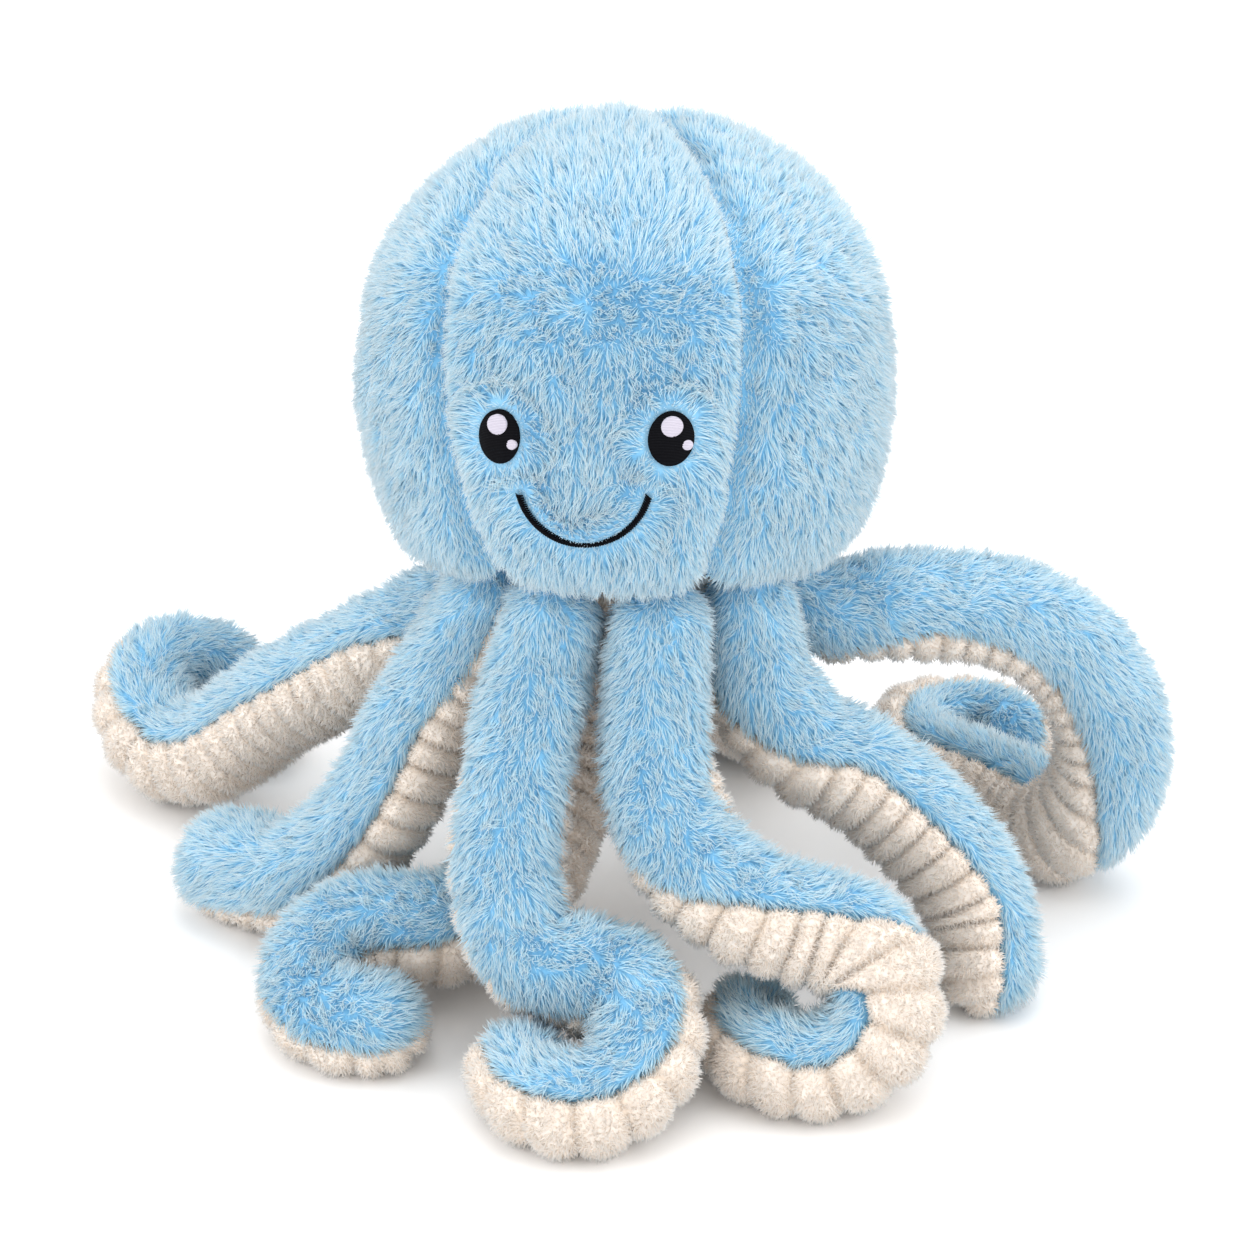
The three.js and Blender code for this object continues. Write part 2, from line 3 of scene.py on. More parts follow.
import bpy
import numpy as np
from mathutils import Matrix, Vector


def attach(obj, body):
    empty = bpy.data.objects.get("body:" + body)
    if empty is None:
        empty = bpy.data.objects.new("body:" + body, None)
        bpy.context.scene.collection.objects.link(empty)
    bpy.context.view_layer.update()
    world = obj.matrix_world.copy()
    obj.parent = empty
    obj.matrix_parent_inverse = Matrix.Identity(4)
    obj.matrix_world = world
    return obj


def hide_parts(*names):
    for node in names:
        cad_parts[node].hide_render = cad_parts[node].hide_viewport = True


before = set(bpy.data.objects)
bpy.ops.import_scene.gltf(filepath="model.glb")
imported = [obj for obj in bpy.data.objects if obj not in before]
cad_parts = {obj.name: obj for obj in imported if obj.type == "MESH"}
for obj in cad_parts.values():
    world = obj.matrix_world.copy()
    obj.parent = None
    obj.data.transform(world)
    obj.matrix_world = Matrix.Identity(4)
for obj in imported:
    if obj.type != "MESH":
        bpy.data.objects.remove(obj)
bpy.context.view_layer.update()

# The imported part's own driving sizes, which are to the middle of the pile.
HEAD_RADIUS = 0.086
NECK_HEIGHT = 0.1266
LEG_REACH = 0.150
LEG_ROOT_RADIUS = 0.0169
LEG_FULL_RADIUS = 0.0185
LEG_TIP_RADIUS = 0.0156
ROOT_SPACE = 0.0018
FLOOR_FLAT = 0.0005
NECK_PLACE = (0.003758, 0.005283, 0.0)
EYE_WIDTH = 0.0147
EYE_HEIGHT = 0.018
EYE_SPACING = 0.054
GLINT_DIAMETER = 0.0064
SMALL_GLINT_DIAMETER = 0.0032
MOUTH_WIDTH = 0.041
MOUTH_DEPTH = 0.016
MOUTH_BELOW_EYES = 0.0185
EYES_BELOW_MIDDLE = 0.0045
HEAD_LEAN = 12
SEAM_LEAN = 13
FACE_TURN = -9.2
FACE_ROLL = 1.2
LEG_STEP = 45
PANEL_COUNT = 5
CURL_STEP = 30
CROWN_FULLNESS = 2.15
JAW_FULLNESS = 2.45
RISE_SHARPNESS = 1.3
BASE_DROP_SHARE = 0.66
SECTION_STEPS = 6
SWELL_END = 0.4
TAPER_START = 0.6
CURL_FACING_IN = 0.38
CURL_FACING_UP = 0.62
ROUTE_STEPS = 400

RING_RADIUS = (LEG_ROOT_RADIUS + ROOT_SPACE / 2) / math.sin(math.radians(LEG_STEP / 2))
BASE_HEIGHT = -BASE_DROP_SHARE * HEAD_RADIUS
SECTION_ROUNDNESS = 2 / (1 + math.cos(math.pi / 2 / SECTION_STEPS))
HEAD_RISE = LEG_ROOT_RADIUS * SECTION_ROUNDNESS - BASE_HEIGHT

# Each leg: its side, the size of its tip, its run and its curls. A row of a run is a place, with X and Y in
# shares of LEG_REACH and Z in shares of NECK_HEIGHT, and then the way that the leg's top faces there. A curl
# winds on from there toward a side, by turn degrees on radius shares of LEG_FULL_RADIUS, down to end.
LEGS = {
    "leg_left_1": (-1, 1.0, [
        (-.184, -.28, .83, -.1, -1, 0), (-.225, -.38, .67, -.1, -1, .1), (-.25, -.47, .51, -.1, -1, .1),
        (-.26, -.56, .34, 0, -1, .2), (-.2, -.66, .2, .1, -.9, .5), (-.06, -.7, .16, 0, -.5, .9)],
        [dict(toward=(0, -1), radius=1.08, turn=255, end=0, drop=.65)]),
    "leg_left_2": (-1, 1.24, [
        (-.39, -.09, .7, -.9, -.1, .3), (-.46, -.11, .55, -.9, 0, .4), (-.53, -.14, .38, -.85, 0, .5),
        (-.62, -.15, .21, -.7, 0, .7), (-.77, -.11, .05, -.5, -.3, .8), (-.92, 0, 0, -.3, -.55, .75)],
        []),
    "leg_left_3": (-1, 1.0, [
        (-.4, .2, .7, -.3, .5, .8), (-.54, .22, .58, -.2, .5, .8), (-.7, .3, .42, -.2, .5, .8),
        (-.86, .38, .26, -.2, .5, .8), (-1.01, .46, .08, -.1, .55, .8), (-1.13, .54, .03, .1, .5, .8)],
        [dict(toward=(.3, .95), radius=1.2, turn=205, end=.04, drop=1, rise=.14)]),
    "leg_left_4": (-1, 1.05, [
        (-.09, .26, .54, -.2, 1, 0), (-.15, .11, .27, -.9, .4, .3), (-.22, -.1, .1, -.7, .3, .7),
        (-.32, -.27, .05, -.5, .1, .9), (-.45, -.37, .07, -.2, 0, 1), (-.59, -.39, .09, 0, -.1, 1)],
        [dict(toward=(0, -1), radius=1.05, turn=180, end=0, drop=.65,
              facings=[(0, -.1, 1), (-.1, -.2, .95), (0, -.3, .9)])]),
    "leg_right_1": (1, 1.0, [
        (.063, -.315, .84, .1, -1, 0), (.058, -.37, .69, 0, -1, .2), (.07, -.45, .55, -.2, -.9, .4),
        (.13, -.55, .43, -.2, -.3, .9), (.26, -.64, .34, 0, .4, .9), (.42, -.67, .28, 0, .7, .7)],
        [dict(toward=(0, -1), radius=1.18, flat=.5, turn=180, end=0, drop=1,
              facings=[(-.3, .8, .5), (-.8, .5, .3), (-.7, .4, .6), (0, .4, .9)]),
         dict(toward=(0, 1), radius=1.1, turn=100, end=0, drop=1)]),
    "leg_right_2": (1, 1.08, [
        (.3, -.19, .71, .85, -.5, .1), (.39, -.23, .55, .7, 0, .7), (.52, -.24, .46, .57, .38, .72),
        (.64, -.26, .35, .6, .35, .7), (.74, -.3, .23, .7, .4, .6), (.8, -.34, .11, .8, .4, .3),
        (.81, -.4, 0, .85, .4, .3)],
        []),
    "leg_right_3": (1, 1.0, [
        (.46, .04, .79, .1, -.3, .95), (.62, .04, .8, .1, -.35, .9), (.77, .06, .78, .1, -.4, .9),
        (.91, .08, .72, .35, -.55, .75), (1.03, .1, .61, .55, -.7, .45), (1.11, .1, .46, .6, -.8, .15),
        (1.14, .09, .31, .7, -.65, .15), (1.12, .09, .17, .85, -.3, .2), (1.07, .12, .06, .85, .15, .2),
        (1.01, .2, 0, .7, .45, .5), (.96, .3, 0, .5, .6, .6), (.85, .42, 0, .4, .7, .55),
        (.75, .52, 0, .4, .7, .55)],
        [dict(toward=(.7, .7), radius=1.08, turn=200, end=0, drop=1,
              facings=[(.78, .55, .15), (.75, -.5, .2), (.1, -.85, .4), (-.6, -.5, .6)])]),
    "leg_right_4": (1, 1.0, [
        (.2, .35, .57, .4, .9, 0), (.24, .45, .36, .4, .8, .4), (.29, .59, .16, .3, .6, .7),
        (.33, .72, .04, 0, .2, 1)],
        [dict(toward=(-.95, .3), radius=1.1, turn=200, end=0, drop=1)]),
}

# Cloth and pile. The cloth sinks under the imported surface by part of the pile's length.
CLOTH_SINK = 0.0016
LOWEST_HAIR = 0.00015
LOWEST_CLOTH = 0.0003
PILE_LENGTH = 0.0060
PILE_WIDTH = 0.00056
PILE_DENSITY = 1.5e6
NAP_LENGTH = 0.0034
NAP_WIDTH = 0.00062
NAP_DENSITY = 1.5e6
# How far a hair takes light as the cloth under it does.
PILE_EVENNESS = 0.4
NAP_EVENNESS = 0.25
# Hairs vary by chance between these shares of the usual.
HAIR_LENGTHS = (0.72, 1.12)
HAIR_WIDTHS = (0.7, 1.25)
HAIR_TWIST = 1.0
SWIRL_REACH = 2.4
CLUMP_SCALE = 0.6
CHANCE_IN_TINT = 0.55
CLUMP_IN_TINT = 0.45
# Hairs darken where the cloth's tint falls under 1 / BARE_GAIN, a painted shade round the sewn face.
BARE_GAIN = 4.0
# A finish's map: the tint runs across and a hair's rise runs up, inside a margin.
MAP_MARGIN = 0.05
MAP_ACROSS = 0.9
MAP_HAIR_SIDE = 0.006
MAP_FOOT = 0.01
MAP_TIP = 0.98
# The cloth's place on the map, and how far and in what swells it varies. The blue cloth's low rise gives it
# the roots' painted shade.
BLUE_TINT = 0.5
CREAM_TINT = 0.55
TINT_SPREAD = 0.2
TINT_SWELLS = 0.02
BLUE_RISE = 0.05
RISE_SPREAD = 0.04
RISE_SWELLS = 0.007

# The legs' cloth. Distances run along a leg from its root's end, and angles are half widths in degrees.
# COVERS_AT_ROOT is what the blue and the cream half widths add up to there, at most.
CAP_ANGLES = (4, 84)
CAP_ROWS = 13
LEG_UNEVEN = 0.0006
LEG_SWELLS = 0.03
THINNEST = 0.0002
BLUE_SPACING = 0.0026
BLUE_COLUMNS = 34
BLUE_HALF = 87
BLUE_AT_ROOT = 150
COVERS_AT_ROOT = 194
CREAM_SPACING = 0.0011
CREAM_COLUMNS = 26
CREAM_HALF = 91
CREAM_AT_RIBS = 7
CREAM_AT_ROOT = {"leg_left_2": 88}
PLAIN_CREAM_AT_ROOT = 30
ROOT_STRIP = (0.035, 0.09)
TUCK_START = 0.86
TUCK_DEPTH = 0.0042
FOLD_DEPTH = 0.0022
FOLD_PITCH = 0.011
FOLD_SQUEEZE = (0.3, 0.8)
FOLDS_BEGIN = (0.06, 0.09)
BLUE_ROOT_SHARE = 0.85
BLUE_ROOT_ZONE = (0.022, 0.045)
BLUE_EDGE_START = 0.8
BLUE_EDGE_LOSS = 0.35
COMB_ALONG = 0.75
COMB_DOWN = np.array([0, 0, -0.4])
COMB_TO_TOP = 0.45
COMB_TO_TOP_START = 0.55
RIB_PITCH = 0.0098
RIB_HEIGHT = 0.0040
RIB_ROUNDNESS = 2.1
RIB_EDGE_POWER = 7
RIB_BULGE = 0.35
CREAM_SINK = 0.0029
CREAM_TUCK = 0.0035
CREAM_TUCK_POWER = 18
NAP_IN_GROOVE = 0.35
CREAM_ROOT_SHARE = 0.5
CREAM_ROOT_ZONE = (0.01, 0.03)
# The cream's rise is low in the ribs' grooves and at the tucked edges: its darker colour there is painted
# shade.
CREAM_RISE = 0.04
CREAM_RIB_RISE = 0.72
CREAM_RISE_POWER = 1.3
NAP_COMB = 0.5

# The head's cloth.
PANEL_COLUMNS = 61
PANEL_ROWS = 120
CROWN_HOLE = 0.006
SEAM_DEPTH = 0.0050
SEAM_WIDTH = 0.0060
SEAM_TOP = (0.002, 0.02)
PILLOW_HEIGHT = 0.0022
WRINKLE_DEPTH = 0.0009
WRINKLE_PITCH = 0.0105
WRINKLE_DRIFT = 0.35
WRINKLE_SWELLS = 0.06
WRINKLE_END = (0.45, 0.75)
WRINKLED_PANEL = 1
FAINT_WRINKLES = 0.4
HEM_START = 0.96
HEM_TUCK = 0.05
HEM_TURNS = (0.96, 0.9, 0.84, 0.78)
HEM_LIFT = 0.0008
HEM_PILE_SHARE = 0.35
SEAM_PILE_SHARE = 0.3
SEAM_PILE_ZONE = 0.008
# Distances from the sewn face within which its pile is short, is cut away and is brushed aside.
MARK_SHORT = (0.0010, 0.0050)
MARK_CUT = (0.0008, 0.0017)
MARK_BRUSHED = (0.004, 0.014)
MARK_SHORT_SHARE = 0.4
MARK_CUT_SHARE = 0.06
MARK_BRUSH = 1.5
# MARK_RISE lifts the cloth round the sewn face up the map, out of the roots' painted shade.
MARK_RISE = 0.25
BRUSHED_BACK = (0.2, 0.7)
BASE_RINGS = 26
BASE_SPOKES = 73
BASE_SHARE = 0.9
BASE_HOLE = 0.002
BASE_LIFT = 0.0006
BASE_RIM_RISE = 0.0016
BASE_RIM_START = 0.75
BASE_PILE_SHARE = 0.3

# The sewn face. Pile hides the rim of a real eye, so its stitching is that much smaller here.
EYE_RIM_ACROSS = 0.0009
EYE_RIM_UP = 0.0006
GLINT_UP = 0.23
SMALL_GLINT_ASIDE = 0.32
SMALL_GLINT_DOWN = 0.11
OVAL_FULLNESS = 2.6
OVAL_SKIRT = 0.0035
OVAL_EDGE_RISE = 0.0001
ROW_PITCH = 0.0007
ROW_HEIGHT = 0.00007
ROWS_END = 0.97
THREAD_PITCH = 0.0005
# A wave texture at scale 1 has this many bands in a metre.
WAVE_BANDS = 3.18
# The eyes' outlines, in shares of their size, whose pile is kept down.
MARKED_RINGS = (0.02, 0.22, 0.42, 0.6, 0.76, 0.9)
SMILE_STITCHES = 74
STITCH_STEPS = 5
STITCH_SIDES = 6
STITCH_THICKNESS = 0.00042
STITCH_TAPER = 0.86
STITCH_REACH = 0.0013
STITCH_SLANT = 0.55
STITCH_ARCH = 0.0011
STITCH_FOOT = 0.0003
STITCH_LIFT = 0.0002

# The photo's camera and a white studio.
CAMERA_PLACE = (0.00376, -1.13177, 0.69116)
CAMERA_AIM = (0.00376, -0.01801, 0.12367)
CAMERA_LENS = 107.66
SENSOR_WIDTH = 36
LAMP_AIM = (0, 0, 0.1)
LAMPS = {
    "top": dict(place=(0.25, 0.1, 2.0), size=1.8, power=15),
    "right": dict(place=(1.9, -0.6, 1.0), size=1.6, power=14),
    "left": dict(place=(-1.9, -0.7, 1.0), size=1.6, power=14),
    "front": dict(place=(-0.2, -2.2, 0.7), size=1.6, power=5),
}
FLOOR_REACH = 6.0
FLOOR_TONES = [(0.3, (0.975, 0.975, 0.975)), (0.7, (0.985, 0.985, 0.985))]


# Small helpers

def smooth(x, low, high):
    t = np.clip((np.asarray(x, float) - low) / (high - low), 0, 1)
    return t * t * (3 - 2 * t)


def mix(a, b, t):
    return a + (b - a) * t


def unit(v):
    v = np.asarray(v, float)
    return v / np.maximum(np.linalg.norm(v, axis=-1, keepdims=True), 1e-12)


def turned_x(v, degrees):
    """Points turned about X."""
    c, s = math.cos(math.radians(degrees)), math.sin(math.radians(degrees))
    x, y, z = v[..., 0], v[..., 1], v[..., 2]
    return np.stack([x, c * y - s * z, s * y + c * z], -1)


def lumps(p, size, seed):
    """Soft unevenness, mostly from -1 to 1, with swells about as wide as size."""
    rng = np.random.default_rng(seed)
    total = 0
    for _ in range(7):
        way = unit(rng.normal(size=3)) * rng.uniform(0.7, 1.4) * 2 * math.pi / size
        total = total + np.sin(p @ way + rng.uniform(0, 2 * math.pi))
    return total / 4.0


def grid_faces(rows, columns):
    r, c = np.meshgrid(np.arange(rows - 1), np.arange(columns - 1), indexing="ij")
    a = (r * columns + c).ravel()
    return np.stack([a, a + 1, a + 1 + columns, a + columns], 1)


def ring_faces(rings, around, start=0):
    """Faces between closed rings of points that follow one another from start."""
    faces = []
    for ring in range(rings - 1):
        for k in range(around):
            a = start + ring * around + k
            b = start + ring * around + (k + 1) % around
            faces.append((a, b, b + around, a + around))
    return faces


def facing_out(points, faces, way):
    """The faces turned so that they look along way, given for each point."""
    a, b, c = (points[faces[:, k]] for k in range(3))
    out = np.sum(np.cross(b - a, c - a) * way.reshape(-1, 3)[faces[:, 0]], 1).sum()
    return faces if out > 0 else faces[:, ::-1]


def mesh_piece(name, points, faces, floats=None, vectors=None):
    """A mesh object with smooth faces, in the part's frame, with named attributes on its points."""
    mesh = bpy.data.meshes.new(name)
    mesh.from_pydata([tuple(p) for p in points], [], [tuple(int(i) for i in f) for f in faces])
    mesh.update()
    mesh.polygons.foreach_set("use_smooth", np.ones(len(mesh.polygons), bool))
    for key, values in (floats or {}).items():
        layer = mesh.attributes.new(key, "FLOAT", "POINT")
        layer.data.foreach_set("value", np.asarray(values, np.float32).ravel())
    for key, values in (vectors or {}).items():
        layer = mesh.attributes.new(key, "FLOAT_VECTOR", "POINT")
        layer.data.foreach_set("vector", np.asarray(values, np.float32).ravel())
    made = bpy.data.objects.new(name, mesh)
    bpy.context.scene.collection.objects.link(made)
    return made


def linked(tree, kind, settings=None, inputs=None):
    """Adds a node, with its settings and with values or sockets on its inputs."""
    node = tree.nodes.new(kind)
    for key, value in (settings or {}).items():
        setattr(node, key, value)
    for key, value in (inputs or {}).items():
        socket = node.inputs[key]
        if isinstance(value, bpy.types.NodeSocket):
            tree.links.new(value, socket)
        else:
            socket.default_value = value
    return node


# Finishes

def material(name):
    made = bpy.data.materials.new(name)
    made.use_nodes = True
    tree = made.node_tree
    tree.nodes.clear()
    shader = tree.nodes.new("ShaderNodeBsdfPrincipled")
    out = tree.nodes.new("ShaderNodeOutputMaterial")
    tree.links.new(shader.outputs["BSDF"], out.inputs["Surface"])
    return made, tree, shader


def ramp(tree, value, stops):
    node = linked(tree, "ShaderNodeValToRGB", inputs={"Fac": value})
    bar = node.color_ramp
    for element, (place, colour) in zip(bar.elements, (stops[0], stops[-1])):
        element.position = place
        element.color = (*colour, 1)
    for place, colour in stops[1:-1]:
        bar.elements.new(place).color = (*colour, 1)
    return node.outputs["Color"]


def varied(tree, shader, value, rough):
    """Roughness that goes from the first of rough to the second as value rises."""
    level = linked(tree, "ShaderNodeMapRange", inputs={"Value": value, 3: rough[0], 4: rough[1]})
    tree.links.new(level.outputs[0], shader.inputs["Roughness"])


def pile_finish(name, stops, shade, rough):
    """Pile whose colour goes by its own map: across is each hair's tint, and up is from root to tip. Low on
    the map the colour is darker, a painted shade for the shadow down among the hairs.
    """
    made, tree, shader = material(name)
    uv = linked(tree, "ShaderNodeUVMap", {"uv_map": "OFBake"})
    parts = linked(tree, "ShaderNodeSeparateXYZ", inputs={"Vector": uv.outputs["UV"]})
    along = ramp(tree, parts.outputs["Y"], stops)
    tint = ramp(tree, parts.outputs["X"], shade)
    both = linked(tree, "ShaderNodeMix", {"data_type": "RGBA", "blend_type": "MULTIPLY"},
                  {0: 1.0, 6: along, 7: tint})
    tree.links.new(both.outputs[2], shader.inputs["Base Color"])
    varied(tree, shader, parts.outputs["Y"], rough)
    shader.inputs["Specular IOR Level"].default_value = 0.25
    shader.inputs["Sheen Weight"].default_value = 0.5
    shader.inputs["Sheen Roughness"].default_value = 0.5
    shader.inputs["Sheen Tint"].default_value = (0.8, 0.92, 1.0, 1.0)
    return made


# The blue stops darken toward the root: painted shade among the hairs, over the pile's own blue.
BLUE_PILE = pile_finish(
    "long_blue_pile",
    stops=[(0.0, (0.20, 0.52, 0.81)), (0.35, (0.43, 0.73, 0.91)), (0.7, (0.71, 0.88, 0.96)),
           (1.0, (0.95, 0.98, 0.99))],
    shade=[(0.0, (0.56, 0.62, 0.68)), (0.14, (0.78, 0.86, 0.92)), (0.4, (0.94, 0.97, 0.98)),
           (1.0, (1.0, 1.0, 1.0))],
    rough=(0.95, 0.72))
# The cream stops darken toward the root: painted shade among the nap and in the grooves, over the cream's own
# colour.
CREAM_PILE = pile_finish(
    "ribbed_cream_plush",
    stops=[(0.0, (0.82, 0.67, 0.53)), (0.3, (0.95, 0.82, 0.70)), (0.65, (0.99, 0.90, 0.82)),
           (1.0, (1.0, 0.94, 0.87))],
    shade=[(0.0, (0.95, 0.94, 0.92)), (0.5, (0.99, 0.985, 0.98)), (1.0, (1.0, 1.0, 1.0))],
    rough=(0.98, 0.85))


def thread_finish(name, colour, dark):
    """Satin stitching: close threads that run one way, with a little unevenness."""
    made, tree, shader = material(name)
    uv = linked(tree, "ShaderNodeUVMap", {"uv_map": "stitch_map"})
    wave = linked(tree, "ShaderNodeTexWave", {"wave_type": "BANDS", "bands_direction": "Y"},
                  {"Vector": uv.outputs["UV"], "Scale": 1 / THREAD_PITCH / WAVE_BANDS, "Distortion": 1.2,
                   "Detail": 2.0, "Detail Scale": 1.6})
    thread = wave.outputs["Color"]
    shade = ramp(tree, thread, [(0.1, dark), (0.8, colour)])
    tree.links.new(shade, shader.inputs["Base Color"])
    varied(tree, shader, thread, (0.8, 0.6))
    bump = linked(tree, "ShaderNodeBump", inputs={"Height": thread, "Strength": 0.5, "Distance": 0.0002})
    tree.links.new(bump.outputs["Normal"], shader.inputs["Normal"])
    shader.inputs["Specular IOR Level"].default_value = 0.06
    return made


BLACK_THREAD = thread_finish("black_satin_thread", colour=(0.006, 0.006, 0.008), dark=(0.001, 0.001, 0.002))
WHITE_THREAD = thread_finish("white_satin_thread", colour=(0.66, 0.62, 0.71), dark=(0.50, 0.47, 0.56))


# Pile, by geometry nodes

def strand_shape(name, lean):
    """One hair along Z that ends in a point, three-sided, a metre long and a metre wide to scale."""
    points = [(0, lean, 1)]
    side = [0]
    for k in range(3):
        turn = 2 * math.pi * k / 3 + math.pi / 6
        points.append((math.cos(turn) / 2, math.sin(turn) / 2, 0))
        side.append(k - 1)
    faces = [(0, 1, 2), (0, 2, 3), (0, 3, 1)]
    return mesh_piece(name, points, faces, {"hair_side": side, "hair_rise": [1, 0, 0, 0]})


LONG_HAIR = strand_shape("long_hair", 0.2)
SHORT_HAIR = strand_shape("short_hair", 0.1)


class PileTree:
    """Grows hairs on a cloth. The cloth's points give pile_share, the share of the full length there;
    comb, the way that the pile lies; and cloth_tint and cloth_rise, the cloth's place on the map, where a low
    rise is the roots' painted shade and a tint lowered round the sewn face is painted shade too."""

    SIZES = ("Hairs per area", "Hair length", "Hair width", "Tuft size", "Tuft pull", "Lean", "Swirl size",
             "Swirl", "Stray", "Foot")

    def __init__(self, name, hair):
        self.tree = bpy.data.node_groups.new(name, "GeometryNodeTree")
        self.sockets = {}
        self.open_sockets()
        self.given = self.tree.nodes.new("NodeGroupInput").outputs
        self.place = self.add("GeometryNodeInputPosition").outputs[0]
        self.swirl_scale = self.maths("DIVIDE", 1.0, self.given["Swirl size"])
        hairs = self.mapped_hairs(self.planted_hairs(hair))
        both = self.tree.nodes.new("GeometryNodeJoinGeometry")
        self.tree.links.new(hairs, both.inputs[0])
        self.tree.links.new(self.mapped_cloth(), both.inputs[0])
        plain = self.add("GeometryNodeRealizeInstances", inputs={"Geometry": both.outputs[0]})
        done = self.add("GeometryNodeSetMaterial",
                        inputs={"Geometry": plain.outputs[0], "Material": self.given["Finish"]})
        out = self.tree.nodes.new("NodeGroupOutput")
        self.tree.links.new(done.outputs[0], out.inputs[0])

    def open_sockets(self):
        """The tree's named inputs, with each one's identifier kept by its name, and its output."""
        face = self.tree.interface
        face.new_socket("Geometry", in_out="INPUT", socket_type="NodeSocketGeometry")
        kinds = dict.fromkeys(self.SIZES, "NodeSocketFloat")
        kinds.update({"Seed": "NodeSocketInt", "Finish": "NodeSocketMaterial"})
        for label, kind in kinds.items():
            self.sockets[label] = face.new_socket(label, in_out="INPUT", socket_type=kind).identifier
        face.new_socket("Geometry", in_out="OUTPUT", socket_type="NodeSocketGeometry")

    def add(self, kind, settings=None, inputs=None):
        return linked(self.tree, kind, settings, inputs)

    def named(self, key, kind="FLOAT"):
        node = self.add("GeometryNodeInputNamedAttribute", {"data_type": kind}, {"Name": key})
        return next(o for o in node.outputs if o.enabled and o.name == "Attribute")

    def maths(self, operation, a, b):
        return self.add("ShaderNodeMath", {"operation": operation}, {0: a, 1: b}).outputs[0]

    def vector(self, operation, a, b=(0, 0, 0)):
        return self.add("ShaderNodeVectorMath", {"operation": operation}, {0: a, 1: b}).outputs["Vector"]

    def scaled(self, a, by):
        return self.add("ShaderNodeVectorMath", {"operation": "SCALE"}, {0: a, "Scale": by}).outputs["Vector"]

    def joined(self, x, y, z=0.0):
        return self.add("ShaderNodeCombineXYZ", inputs={"X": x, "Y": y, "Z": z}).outputs[0]

    def chance(self, low, high, seed, kind="FLOAT"):
        node = self.add("FunctionNodeRandomValue", {"data_type": kind}, {"Seed": seed})
        lowest, highest = [s for s in node.inputs if s.enabled][:2]
        lowest.default_value = low
        highest.default_value = high
        return next(o for o in node.outputs if o.enabled)

    def stored(self, geometry, key, value, kind="FLOAT", domain="POINT"):
        node = self.add("GeometryNodeStoreNamedAttribute", {"data_type": kind, "domain": domain},
                        {"Geometry": geometry, "Name": key, "Value": value})
        return node.outputs[0]

    def hair_way(self):
        """The way that a hair leans off the cloth: by the comb, broad swirls, its tuft's pull and chance."""
        swirl = self.add("ShaderNodeTexNoise", {"noise_dimensions": "3D"},
                         {"Vector": self.place, "Scale": self.swirl_scale, "Detail": 1.0, "Roughness": 0.5})
        swirl = self.scaled(self.vector("SUBTRACT", swirl.outputs["Color"], (0.5, 0.5, 0.5)),
                            self.maths("MULTIPLY", self.given["Swirl"], SWIRL_REACH))
        tuft = self.add("ShaderNodeTexVoronoi", {"voronoi_dimensions": "3D", "feature": "F1"},
                        {"Vector": self.place, "Scale": self.maths("DIVIDE", 1.0, self.given["Tuft size"]),
                         "Randomness": 1.0})
        pull = self.scaled(self.vector("SUBTRACT", tuft.outputs["Position"], self.place),
                           self.maths("DIVIDE", self.given["Tuft pull"], self.given["Hair length"]))
        combed = self.scaled(self.named("comb", "FLOAT_VECTOR"), self.given["Lean"])
        combed = self.vector("ADD", self.vector("ADD", combed, swirl), pull)
        stray = self.chance((-1.0,) * 3, (1.0,) * 3, 3, "FLOAT_VECTOR")
        return self.vector("ADD", combed, self.scaled(stray, self.given["Stray"]))

    def hair_turn(self, normal):
        """Each hair's turn: its length along its way, and a twist by chance about it."""
        combed = self.hair_way()
        axes = self.add("FunctionNodeAxesToRotation", {"primary_axis": "Z", "secondary_axis": "Y"})
        self.tree.links.new(self.vector("NORMALIZE", self.vector("ADD", normal, combed)), axes.inputs[0])
        self.tree.links.new(combed, axes.inputs[1])
        twist = self.add("FunctionNodeAxisAngleToRotation",
                         inputs={"Axis": (0, 0, 1), "Angle": self.chance(-HAIR_TWIST, HAIR_TWIST, 4)})
        turn = self.add("FunctionNodeRotateRotation", {"rotation_space": "LOCAL"},
                        {"Rotation": axes.outputs[0], "Rotate By": twist.outputs[0]})
        return turn.outputs[0]

    def hair_size(self):
        length = self.maths("MULTIPLY", self.given["Hair length"], self.named("pile_share"))
        length = self.maths("MULTIPLY", length, self.chance(*HAIR_LENGTHS, 5))
        width = self.maths("MULTIPLY", self.given["Hair width"], self.chance(*HAIR_WIDTHS, 6))
        return self.joined(width, width, length)

    def hair_tint(self):
        """Part chance and part clumps, and darker where the cloth's tint is lowered round the sewn face: a
        painted shade for the shadow of the full pile.
        """
        scale = self.maths("MULTIPLY", self.swirl_scale, CLUMP_SCALE)
        clump = self.add("ShaderNodeTexNoise", {"noise_dimensions": "3D"},
                         {"Vector": self.place, "Scale": scale, "Detail": 2.0})
        tint = self.maths("ADD", self.maths("MULTIPLY", self.chance(0.0, 1.0, 7), CHANCE_IN_TINT),
                          self.maths("MULTIPLY", clump.outputs[0], CLUMP_IN_TINT))
        face_shade_fade = self.maths("MINIMUM", self.maths("MULTIPLY", self.named("cloth_tint"), BARE_GAIN), 1.0)
        return self.maths("MULTIPLY", tint, face_shade_fade)

